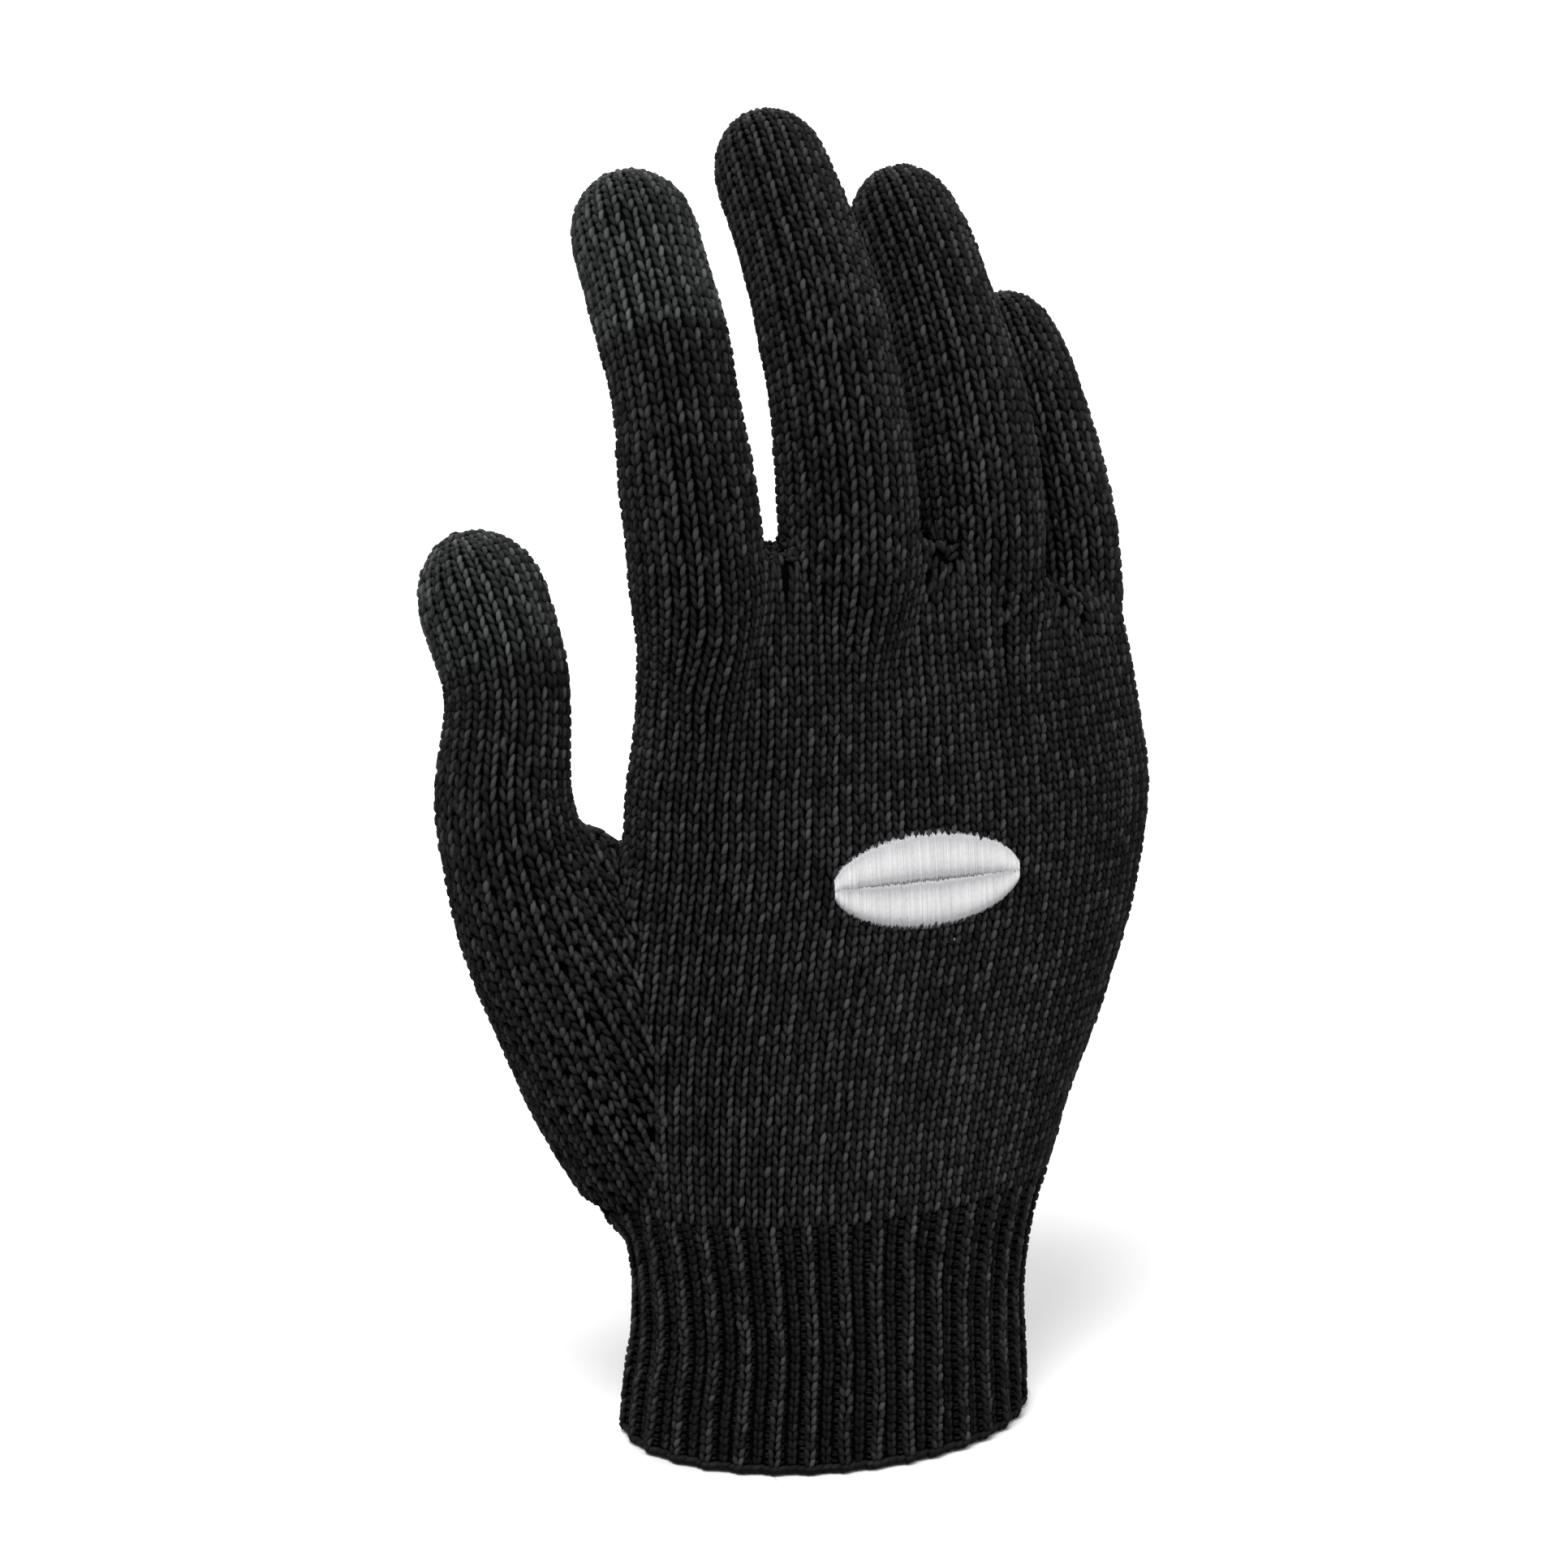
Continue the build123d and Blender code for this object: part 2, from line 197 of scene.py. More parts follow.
def side_theta(share, z, back=True):
    """The angle at a share of the way across the back or the palm from the thumb side, by arc length."""
    sweep = np.linspace(math.pi, 2 * math.pi if back else 0.0, 181)
    points = hand_point(sweep, np.full(181, float(z)))
    along = np.concatenate([[0], np.cumsum(np.linalg.norm(np.diff(points, axis=0), axis=1))])
    return np.interp(np.asarray(share) * along[-1], along, sweep)


# ------------------------------------------------------------------ the digits' surfaces
class Digit:
    """A tube on a smooth centreline through the digit's hinges, with a rounded closed end."""

    def __init__(self, name):
        self.name = name
        spec = DIGITS[name]
        joints = [j for j in frame["joints"] if j["name"].startswith(name + "_")]
        hinges = [np.array(j["pos_m"]) / MM for j in joints]
        self.axis = -unit(np.array(joints[0]["axis"]))
        self.joint_names = [j["name"] for j in joints]
        self.bodies = ["hand"] + [j["child"] for j in joints]
        low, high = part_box(name + "_tip_seam")
        end = (np.array(low) + np.array(high)) / 2 / MM + np.array(spec.get("tip_shift", (0.0, 0.0, 0.0)))
        points = np.array([np.array(p) for p in spec["inside"]] + hinges + [end])
        rough = np.concatenate([[0], np.cumsum(np.linalg.norm(np.diff(points, axis=0), axis=1))])
        fine = np.linspace(0, rough[-1], 400)
        self.line = self.through(rough, points, fine)
        self.s = np.concatenate([[0], np.cumsum(np.linalg.norm(np.diff(self.line, axis=0), axis=1))])
        knots = np.interp(rough, fine, self.s)
        self.hinge_s = knots[-1 - len(hinges):-1]
        self.length = self.s[-1]
        radii = spec["radii"]
        pad_s = self.hinge_s[-1] + 0.5 * (self.length - self.hinge_s[-1])
        self.radius_knots = np.concatenate([knots[:-1], [pad_s]])
        self.radii = radii
        self.pad = spec["pad"]
        self.dome_start = self.length - 1.25 * radii[-1]
        self.tangents = unit(np.gradient(self.line, axis=0))

    @staticmethod
    def through(knots, points, x):
        """Cardinal spline through the points."""
        slope = np.gradient(points, knots, axis=0)
        h = np.diff(knots)
        k = np.clip(np.searchsorted(knots, x, side="right") - 1, 0, len(h) - 1)
        t = ((x - knots[k]) / h[k])[:, None]
        return hermite(t, h[k][:, None], points[k], points[k + 1], slope[k], slope[k + 1])

    def centre(self, s):
        return np.stack([np.interp(s, self.s, self.line[:, i]) for i in range(3)], -1)

    def frame(self, s):
        along = unit(np.stack([np.interp(s, self.s, self.tangents[:, i]) for i in range(3)], -1))
        across = unit(self.axis - along * (along @ self.axis)[..., None])
        palm = np.cross(along, across)
        return along, across, palm

    def radius(self, s):
        s = np.asarray(s, float)
        body = spline(self.radius_knots, self.radii, s)[:, 0]
        if not s.ndim:
            body = body[0]
        t = np.clip((s - self.dome_start) / (self.length - self.dome_start), 0, 1)
        return body * np.sqrt(np.maximum(1 - t ** 2.3, 0.0))

    def point(self, phi, s, inset=0.0):
        """Surface point; phi 180 is the thumb side, 270 the back, 0 the little side, 90 the palm."""
        s = np.minimum(np.asarray(s, float), self.length)
        along, across, palm = self.frame(s)
        r = np.maximum(self.radius(s) - inset, 0.0)
        tip = smoothstep(s, self.hinge_s[-1] + 2, self.length - 6)
        pad = self.pad * tip * np.maximum(np.sin(phi), 0)
        deep = 1 + 0.05 * tip
        return (self.centre(s) + (r * np.cos(phi))[..., None] * across
                + ((r * deep + pad * np.minimum(r / 6, 1)) * np.sin(phi))[..., None] * palm)

    def locate(self, points):
        """The arc length and distance of the centreline's nearest place to each point."""
        points = np.atleast_2d(points)
        gap = np.linalg.norm(points[:, None, :] - self.line[None, ::2, :], axis=2)
        k = gap.argmin(1)
        return self.s[::2][k], gap[np.arange(len(points)), k]

    def outside(self, points):
        """How far each point lies outside the tube; negative inside."""
        s, gap = self.locate(points)
        return gap - self.radius(s)


digits = {name: Digit(name) for name in DIGITS}


# ------------------------------------------------------------------ meshes from arrays
def new_object(name, verts, faces, tone=None, smooth=True):
    """A mesh object from points in mm and arrays of faces' corners, with a tone value per point."""
    mesh = bpy.data.meshes.new(name)
    verts = np.asarray(verts, float) * MM
    counts = np.concatenate([np.full(len(f), f.shape[1]) for f in faces])
    corners = np.concatenate([f.ravel() for f in faces])
    mesh.vertices.add(len(verts))
    mesh.vertices.foreach_set("co", verts.ravel())
    mesh.loops.add(len(corners))
    mesh.loops.foreach_set("vertex_index", corners.astype(np.int32))
    mesh.polygons.add(len(counts))
    mesh.polygons.foreach_set("loop_start", np.concatenate([[0], np.cumsum(counts)[:-1]]).astype(np.int32))
    # The tone carries each stitch's random tone together with its painted highlight and shade
    if tone is not None:
        attribute = mesh.attributes.new("tone", "FLOAT", "POINT")
        attribute.data.foreach_set("value", np.asarray(tone, np.float32))
    mesh.update(calc_edges=True)
    mesh.polygons.foreach_set("use_smooth", np.full(len(counts), smooth))
    mesh.validate()
    obj = bpy.data.objects.new(name, mesh)
    bpy.context.scene.collection.objects.link(obj)
    return obj


def grid_faces(rows, columns, closed=True):
    """Quads of a grid of rows by columns, the columns closed into a ring."""
    r, c = np.meshgrid(np.arange(rows - 1), np.arange(columns if closed else columns - 1), indexing="ij")
    n = (c + 1) % columns
    low, high = r * columns, (r + 1) * columns
    return np.stack([low + c, low + n, high + n, high + c], -1).reshape(-1, 4)


def capped_tube(rings):
    """Closed surface over a stack of rings, given as an array of rings by points by 3."""
    rows, columns, _ = rings.shape
    verts = np.concatenate([rings.reshape(-1, 3), rings[:1].mean(1), rings[-1:].mean(1)])
    side = grid_faces(rows, columns)
    k = np.arange(columns)
    low = np.stack([np.full(columns, rows * columns), (k + 1) % columns, k], -1)
    last = (rows - 1) * columns
    high = np.stack([np.full(columns, rows * columns + 1), last + k, last + (k + 1) % columns], -1)
    return verts, side, np.concatenate([low, high])


# ------------------------------------------------------------------ the base shell
def web_height(x):
    return WEB_TOP - np.maximum(x - WEB_SLOPE_START, 0) * WEB_SLOPE


RIM_OVAL = (35.0, 26.0)
fine_theta = np.linspace(-math.pi, math.pi, 721)
rim_steps = np.hypot(np.diff(RIM_OVAL[0] * np.cos(fine_theta)), np.diff(RIM_OVAL[1] * np.sin(fine_theta)))
rim_phase = np.concatenate([[0], np.cumsum(rim_steps)]) / rim_steps.sum() * 2 * math.pi - math.pi


def phase_of(theta):
    """Evens out the oval's angle so that equal steps are equal lengths of the rim."""
    return np.interp(theta, fine_theta, rim_phase)


def theta_of(phase):
    return np.interp((np.asarray(phase) + math.pi) % (2 * math.pi) - math.pi, rim_phase, fine_theta)


def vertex_normals(verts, quads):
    a, b, c, d = (verts[quads[:, i]] for i in range(4))
    face = np.cross(c - a, d - b)
    normals = np.zeros_like(verts)
    for i in range(4):
        np.add.at(normals, quads[:, i], face)
    return unit(normals)


# The web between thumb and hand: centre x, y, height, half width, half depth, mm
THUMB_WEB = [(-36.0, 7.0, 84.0, 5.0, 7.0), (-37.4, 7.0, 91.0, 6.0, 7.6), (-38.4, 6.9, 97.0, 5.8, 7.2),
             (-39.2, 7.0, 101.5, 4.6, 6.2), (-39.8, 7.2, 104.5, 2.8, 4.6)]
LUMPS = 0.45                  # how far the cloth wanders in and out, mm
LUMP_SIZE = 15.0


def base_surface():
    """One seamless outer skin under the stitches: hand and digits remeshed together and smoothed."""
    parts = []
    theta = np.linspace(0, 2 * math.pi, 96, endpoint=False)
    rings = np.stack([hand_point(theta, np.full(96, z), STITCH_RISE) for z in np.linspace(-3.0, 151.0, 78)])
    top = web_height(rings[..., 0]) - STITCH_RISE
    rings[..., 2] = np.minimum(rings[..., 2], top)
    parts.append(capped_tube(rings))
    phi = np.linspace(0, 2 * math.pi, 40, endpoint=False)
    for digit in digits.values():
        dome = np.sin(np.linspace(0.1, 0.99, 12) * math.pi / 2)
        stations = np.concatenate([np.linspace(0, digit.dome_start, 44),
                                   digit.dome_start + (digit.length - digit.dome_start) * dome])
        rings = [digit.point(phi, np.full(len(phi), s), STITCH_RISE) for s in stations]
        parts.append(capped_tube(np.stack(rings)))
    rings = [np.stack([x + a * np.cos(phi), y + b * np.sin(phi), np.full(len(phi), z)], -1)
             for x, y, z, a, b in THUMB_WEB]
    parts.append(capped_tube(np.stack(rings)))
    verts, quads, tris = [], [], []
    start = 0
    for v, q, t in parts:
        verts.append(v)
        quads.append(q + start)
        tris.append(t + start)
        start += len(v)
    skin = new_object("skin", np.concatenate(verts), [np.concatenate(quads), np.concatenate(tris)])
    remesh = skin.modifiers.new("remesh", "REMESH")
    remesh.mode = "VOXEL"
    remesh.voxel_size = VOXEL * MM
    soften = skin.modifiers.new("soften", "SMOOTH")
    soften.factor = 0.5
    soften.iterations = 8
    evaluated = skin.evaluated_get(bpy.context.evaluated_depsgraph_get())
    mesh = bpy.data.meshes.new_from_object(evaluated)
    bpy.data.objects.remove(skin)
    verts = np.empty(len(mesh.vertices) * 3)
    mesh.vertices.foreach_get("co", verts)
    verts = verts.reshape(-1, 3) / MM
    quads = np.array([p.vertices[:] for p in mesh.polygons if len(p.vertices) == 4])
    bpy.data.meshes.remove(mesh)
    quads = quads[verts[quads][:, :, 2].min(1) > 0.2]
    used, quads = np.unique(quads, return_inverse=True)
    verts, quads = verts[used], quads.reshape(-1, 4)
    x0, y0, a, b = spline(HAND[:, 0], HAND[:, 1:], verts[:, 2]).T
    phase = RIBS * phase_of(np.arctan2((verts[:, 1] - y0) / b, (verts[:, 0] - x0) / a))
    wave = np.cos(phase) + 0.45 * np.cos(2 * phase) - 0.5
    fade = 1 - smoothstep(verts[:, 2], 34, 44)
    verts = verts + vertex_normals(verts, quads) * (RIB_DEPTH * fade * wave)[:, None]
    wander = np.array([noise.noise(Vector(v / LUMP_SIZE)) for v in verts]) * smoothstep(verts[:, 2], 8, 50)
    verts = verts + vertex_normals(verts, quads) * (LUMPS * wander)[:, None]
    verts[verts[:, 2] < 1.4, 2] = 0.9
    return verts, quads


skin_verts, skin_quads = base_surface()
skin_normals = vertex_normals(skin_verts, skin_quads)
skin_tree = BVHTree.FromPolygons([tuple(v) for v in skin_verts], [tuple(q) for q in skin_quads])


def on_skin(points):
    """The nearest place on the skin to each point, and its smoothed normal."""
    shape = points.shape
    place, normal = np.empty((points.size // 3, 3)), np.empty((points.size // 3, 3))
    for i, p in enumerate(points.reshape(-1, 3)):
        co, _, face, _ = skin_tree.find_nearest(Vector(p))
        place[i] = co
        corners = skin_quads[face]
        weight = 1 / (np.linalg.norm(skin_verts[corners] - place[i], axis=1) + 0.05)
        normal[i] = weight @ skin_normals[corners]
    return place.reshape(shape), unit(normal).reshape(shape)


# ------------------------------------------------------------------ which piece a place belongs to
# How far before and after each hinge reaches, mm; the cuts between segments are kept outside these
KNUCKLE_REACH = {"index": (5.0, 9.0), "middle": (5.0, 10.0), "ring": (3.5, 9.5), "little": (2.0, 9.0),
                 "thumb": (7.0, 8.0)}
MID_REACH = {"index": (8.0, 7.5), "middle": (9.0, 9.0), "ring": (8.5, 8.5), "little": (5.5, 6.5)}
TIP_REACH = {"index": (8.0, 8.0), "middle": (9.0, 8.0), "ring": (8.5, 8.0), "little": (6.5, 6.5),
             "thumb": (8.0, 8.0)}
TOUCH_DIGITS = ("index", "thumb")
THUMB_TOUCH_FROM = 3.5        # past the tip joint, mm; the index finger's starts with its tip piece


class Segment:
    """A length of a digit between two cuts, across one joint."""

    def __init__(self, digit, kind, parent, child, hinge_s, reach, low, high):
        self.name = f"{digit.name}_{kind}"
        self.digit, self.kind, self.parent, self.child = digit, kind, parent, child
        self.low, self.high = low, high
        self.start = digit.centre(np.array(hinge_s - reach[0]))
        self.end = digit.centre(np.array(hinge_s + reach[1]))

    def bend(self, obj):
        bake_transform(obj)


segments = {}
for digit in digits.values():
    hinges = digit.hinge_s
    kinds = ["knuckle", "middle_joint", "tip_joint"] if len(hinges) == 3 else ["knuckle", "tip_joint"]
    reaches = [KNUCKLE_REACH, MID_REACH, TIP_REACH] if len(hinges) == 3 else [KNUCKLE_REACH, TIP_REACH]
    cuts = [hinges[0] - reaches[0][digit.name][0] - 0.3]
    for i in range(1, len(hinges)):
        low = hinges[i - 1] + reaches[i - 1][digit.name][1]
        high = hinges[i] - reaches[i][digit.name][0]
        cuts.append(max(low, min((low + high) / 2, high)))
    cuts.append(1e9)
    for i, kind in enumerate(kinds):
        segments[digit.name, i] = Segment(digit, kind, digit.bodies[i], digit.bodies[i + 1], hinges[i],
                                          reaches[i][digit.name], cuts[i], cuts[i + 1])


def segment_at(name, s):
    """The number of the digit's segment at each arc length, or -1 in the hand."""
    count = len(digits[name].hinge_s)
    number = np.full(np.shape(s), -1)
    for i in range(count):
        number[np.asarray(s) >= segments[name, i].low] = i
    return number


# ------------------------------------------------------------------ materials
MIDDLE_TONE = 0.20     # how far up the ramp's middle lies from its dark end to its light one


def new_material(name, dark, light, rough, sheen=0.25, grain=1800.0, bump=0.35, use_tone=True, speck=0.5,
                 shine=0.02):
    """Spun yarn or woven cloth: tone from the mesh, which on the stitches holds painted highlight and
    shade, broken up by fibre noise, with a fine bump.
    """
    material = bpy.data.materials.new(name)
    material.use_nodes = True
    tree = material.node_tree
    nodes, links = tree.nodes, tree.links
    shader = nodes["Principled BSDF"]
    place = nodes.new("ShaderNodeTexCoord")
    fibres = nodes.new("ShaderNodeTexNoise")
    fibres.inputs["Scale"].default_value = grain
    fibres.inputs["Detail"].default_value = 5.0
    fibres.inputs["Roughness"].default_value = 0.65
    clouds = nodes.new("ShaderNodeTexNoise")
    clouds.inputs["Scale"].default_value = grain / 14
    clouds.inputs["Detail"].default_value = 3.0
    links.new(place.outputs["Object"], fibres.inputs["Vector"])
    links.new(place.outputs["Object"], clouds.inputs["Vector"])
    mix = nodes.new("ShaderNodeMath")
    mix.operation = "MULTIPLY_ADD"
    mix.inputs[1].default_value = speck
    links.new(fibres.outputs["Fac"], mix.inputs[0])
    cloud = nodes.new("ShaderNodeMath")
    cloud.operation = "MULTIPLY_ADD"
    cloud.inputs[1].default_value = speck * 0.5
    cloud.inputs[2].default_value = -speck * 0.75
    links.new(clouds.outputs["Fac"], cloud.inputs[0])
    links.new(cloud.outputs["Value"], mix.inputs[2])
    total = nodes.new("ShaderNodeMath")
    total.operation = "ADD"
    links.new(mix.outputs["Value"], total.inputs[0])
    if use_tone:
        # The tone attribute brings the stitches' painted highlight and shade into the base colour
        tone = nodes.new("ShaderNodeAttribute")
        tone.attribute_name = "tone"
        links.new(tone.outputs["Fac"], total.inputs[1])
    else:
        total.inputs[1].default_value = 0.5
    ramp = nodes.new("ShaderNodeValToRGB")
    ramp.color_ramp.elements[0].position = 0.05
    ramp.color_ramp.elements[0].color = (*dark, 1)
    ramp.color_ramp.elements[1].position = 1.0
    ramp.color_ramp.elements[1].color = (*light, 1)
    middle = ramp.color_ramp.elements.new(0.5)
    middle.color = (*(d + (l - d) * MIDDLE_TONE for d, l in zip(dark, light)), 1)
    links.new(total.outputs["Value"], ramp.inputs["Fac"])
    links.new(ramp.outputs["Color"], shader.inputs["Base Color"])
    bumps = nodes.new("ShaderNodeBump")
    bumps.inputs["Strength"].default_value = bump
    bumps.inputs["Distance"].default_value = 0.0003
    links.new(fibres.outputs["Fac"], bumps.inputs["Height"])
    links.new(bumps.outputs["Normal"], shader.inputs["Normal"])
    shader.inputs["Roughness"].default_value = rough
    shader.inputs["Specular IOR Level"].default_value = shine
    shader.inputs["Sheen Weight"].default_value = sheen
    shader.inputs["Sheen Roughness"].default_value = 0.45
    shader.inputs["Sheen Tint"].default_value = (0.85, 0.87, 0.95, 1)
    return material


BLACK = new_material("black_knit", (0.0003, 0.0003, 0.0004), (0.030, 0.030, 0.0315), 0.75, sheen=0.008)
RIB = new_material("rib_knit", (0.0003, 0.0003, 0.0004), (0.030, 0.030, 0.0315), 0.75, sheen=0.008)
TOUCH = new_material("touch_knit", (0.0008, 0.0009, 0.0009), (0.057, 0.059, 0.059), 0.68, sheen=0.015)
# Painted shade: the inner shells under the stitches stand for the knit's back layer, coloured near black so
# that the gaps between stitches read as shade
SHADED_INNER = new_material("inner_knit", (0.0003, 0.0003, 0.0004), (0.0022, 0.0022, 0.0024), 0.95,
                    sheen=0.0, use_tone=False, shine=0.0)
SHADED_INNER_TOUCH = new_material("inner_touch", (0.0005, 0.0005, 0.0005), (0.004, 0.004, 0.004), 0.95,
                          sheen=0.0, use_tone=False, shine=0.0)
WHITE = new_material("white_thread", (0.16, 0.16, 0.17), (0.50, 0.50, 0.50), 0.42,
                     sheen=0.1, bump=0.15, speck=0.25, shine=0.5)
BACKING = new_material("backing_cloth", (0.45, 0.45, 0.44), (0.75, 0.75, 0.73), 0.9, use_tone=False)
ELASTIC = new_material("elastic_yarn", (0.02, 0.02, 0.022), (0.08, 0.08, 0.085), 0.6, use_tone=False)
LABEL = new_material("label_satin", (0.55, 0.55, 0.54), (0.82, 0.82, 0.80), 0.5,
                     use_tone=False, grain=2600.0)
LABEL_THREAD = new_material("label_thread", (0.0004, 0.0004, 0.0004), (0.006, 0.006, 0.006), 0.8,
                            sheen=0.0, use_tone=False)


# ------------------------------------------------------------------ base pieces
def hand_outside(points):
    """How far each point lies outside the hand's own oval; negative inside."""
    x0, y0, a, b = spline(HAND[:, 0], HAND[:, 1:], points[:, 2]).T
    power = 2 + (HAND_SQUARENESS - 2) * smoothstep(points[:, 2], 40, 80)
    dx, dy = points[:, 0] - x0, points[:, 1] - y0 - palm_arch(points[:, 0], points[:, 2])
    level = ((np.abs(dx) / a) ** power + (np.abs(dy) / b) ** power) ** (1 / power)
    gap = np.hypot(dx, dy) * (1 - 1 / np.maximum(level, 1e-6))
    return np.where(points[:, 2] > web_height(points[:, 0]) + 2, 99.0, gap)


def label_faces():
    """Each skin face's digit, its segment of that digit (-1 in the hand), and its middle."""
    centres = skin_verts[skin_quads].mean(1)
    best, owner = np.full(len(centres), 3.0), np.full(len(centres), -1)
    number = np.full(len(centres), -1)
    for k, (name, digit) in enumerate(digits.items()):
        s, gap = digit.locate(centres)
        gap = np.abs(gap - digit.radius(s))
        closer = gap < best
        best[closer] = gap[closer]
        owner[closer] = k
        number[closer] = segment_at(name, s[closer])
    return owner, np.where(owner < 0, -1, number), centres


face_digit, face_segment, face_middle = label_faces()


def shell_piece(name, mask, material):
    """The skin's faces in the mask, thickened inward and closed at the edges."""
    quads = skin_quads[mask]
    used, quads = np.unique(quads, return_inverse=True)
    quads = quads.reshape(-1, 4)
    outer = skin_verts[used]
    inner = outer - skin_normals[used] * SHELL_THICKNESS
    inner[:, 2] = np.where(outer[:, 2] < 1.3, outer[:, 2], inner[:, 2])
    count = len(used)
    edges = np.concatenate([quads[:, [i, (i + 1) % 4]] for i in range(4)])
    pairs = set(map(tuple, edges))
    rim = np.array([e for e in pairs if (e[1], e[0]) not in pairs])
    faces = [quads, quads[:, ::-1] + count]
    if len(rim):
        faces.append(np.stack([rim[:, 1], rim[:, 0], rim[:, 0] + count, rim[:, 1] + count], -1))
    obj = new_object(name, np.concatenate([outer, inner]), faces)
    obj.data.materials.append(material)
    return obj


# ------------------------------------------------------------------ stitches
LEG_AT = np.array([0.0, 0.10, 0.36, 0.66, 0.90, 1.0])    # along the leg; its ends are points
LEG_WIDE = np.array([0.0, 0.72, 1.0, 1.0, 0.70, 0.0])
LEG_SIDES = 6
LEG_POINTS = 2 + (len(LEG_AT) - 2) * LEG_SIDES            # mesh points of one leg


def grain_faces(rings, sides):
    """Triangles and quads of one closed grain: an end, rings of points, and an end."""
    quads = grid_faces(rings, sides) + 1
    k = np.arange(sides)
    last = 1 + rings * sides
    tris = np.concatenate([np.stack([np.zeros(sides, int), 1 + (k + 1) % sides, 1 + k], -1),
                           np.stack([np.full(sides, last), last - sides + k,
                                     last - sides + (k + 1) % sides], -1)])
    return quads, tris


def grains(line, wide, thick, normal, tone):
    """Closed grains along short lines, their tone painted lighter along the top and darker towards the ends
    as painted highlight and shade. line: N by points by 3; wide, thick: N by points; normal: N by 3.
    """
    count, stops, _ = line.shape
    along = unit(np.gradient(line, axis=1))
    side = unit(np.cross(along, normal[:, None, :]))
    rise = unit(np.cross(side, along))
    angle = np.arange(LEG_SIDES) / LEG_SIDES * 2 * math.pi - math.pi / 2
    ring = (line[:, 1:-1, None, :]
            + side[:, 1:-1, None, :] * (wide[:, 1:-1, None] * np.cos(angle))[..., None]
            + rise[:, 1:-1, None, :] * (thick[:, 1:-1, None] * np.sin(angle))[..., None])
    verts = np.concatenate([line[:, :1], ring.reshape(count, -1, 3), line[:, -1:]], 1)
    # Painted light in the tone: each grain is painted lighter along the top of its section as a painted
    # highlight, and darker towards its ends as painted shade where the yarn dips under its neighbours
    middle = 1 - np.abs(np.linspace(-1, 1, stops)) ** 2
    height = (np.sin(angle) + 1) / 2
    painted_light_and_shade = np.concatenate([[0.0], (middle[1:-1, None] * (0.45 + 0.55 * height)).ravel(), [0.0]])
    tones = tone[:, None] * (0.12 + 0.88 * painted_light_and_shade[None, :])
    quads, tris = grain_faces(stops - 2, LEG_SIDES)
    offset = (np.arange(count) * verts.shape[1])[:, None, None]
    quads, tris = (quads[None] + offset).reshape(-1, 4), (tris[None] + offset).reshape(-1, 3)
    return verts.reshape(-1, 3), quads, tris, tones.ravel()


class Bag:
    """Grain meshes gathered for one piece."""

    def __init__(self):
        self.verts, self.quads, self.tris, self.tones, self.count = [], [], [], [], 0

    def add(self, mesh):
        verts, quads, tris, tones = mesh
        self.verts.append(verts)
        self.quads.append(quads + self.count)
        self.tris.append(tris + self.count)
        self.tones.append(tones)
        self.count += len(verts)

    def build(self, name, material, slot):
        faces = [np.concatenate(self.quads), np.concatenate(self.tris)]
        obj = new_object(name, np.concatenate(self.verts), faces, np.concatenate(self.tones))
        obj.data.materials.append(material)
        return obj


bags = {}
laid = []                     # where stitches are and which way they run


def bag(name):
    return bags.setdefault(name, Bag())


def knit_legs(place, normal, along, pitch, course, tone):
    """The two slanting legs of each knit stitch; the right one stands a little higher and is painted
    lighter as the lit leg, the left one painted darker as the shaded leg.
    """
    across = unit(np.cross(along, normal))
    count = len(place)
    out = []
    for side in (-1, 1):
        shift = RNG.normal(0, 0.035, (count, 2))
        t = LEG_AT[None, :]
        u = side * (0.085 + shift[:, :1] + 0.27 * t * (1.25 - 0.25 * t))
        v = (t - 0.48 + shift[:, 1:]) * 1.42
        arch = np.sin(math.pi * np.clip(t, 0, 1)) ** 0.8
        w = -0.28 + 0.72 * arch + (0.10 if side > 0 else -0.04) + RNG.normal(0, 0.05, (count, 1))
        line = (place[:, None] + across[:, None] * (u * pitch[:, None])[..., None]
                + along[:, None] * (v * course[:, None])[..., None] + normal[:, None] * w[..., None])
        size = 1 + RNG.normal(0, 0.07, (count, 1))
        wide = LEG_WIDE[None] * (0.30 + 0.065 * pitch[:, None]) * size
        thick = LEG_WIDE[None] * 0.44 * size * np.clip(pitch[:, None] / 2.0, 0.5, 1.1)
        # Painted light: the right leg's tone is raised as a painted highlight and the left leg's lowered as
        # painted shade
        leg_tone_with_painted_light = tone * (1.16 if side > 0 else 0.80) * (1 + RNG.normal(0, 0.16, count))
        out.append(grains(line, wide, thick, normal, leg_tone_with_painted_light))
    return out


def wales_on_skin(targets):
    """Each stitch's place, the skin's normal there, the way its wale runs, and the height of its course."""
    place, normal = on_skin(targets)
    along = np.gradient(place, axis=1)
    course = np.linalg.norm(along, axis=-1)
    along = unit(along - normal * (along * normal).sum(-1, keepdims=True))
    return place, normal, along, course


# Least and most width and height of a stitch, mm
STITCH_WIDE = (0.9, 3.2)
STITCH_TALL = (0.9, 2.6)
# Where the wales crowd closer than these, every second or every fourth of them is laid, mm
CROWDED = 1.15
VERY_CROWDED = 0.55


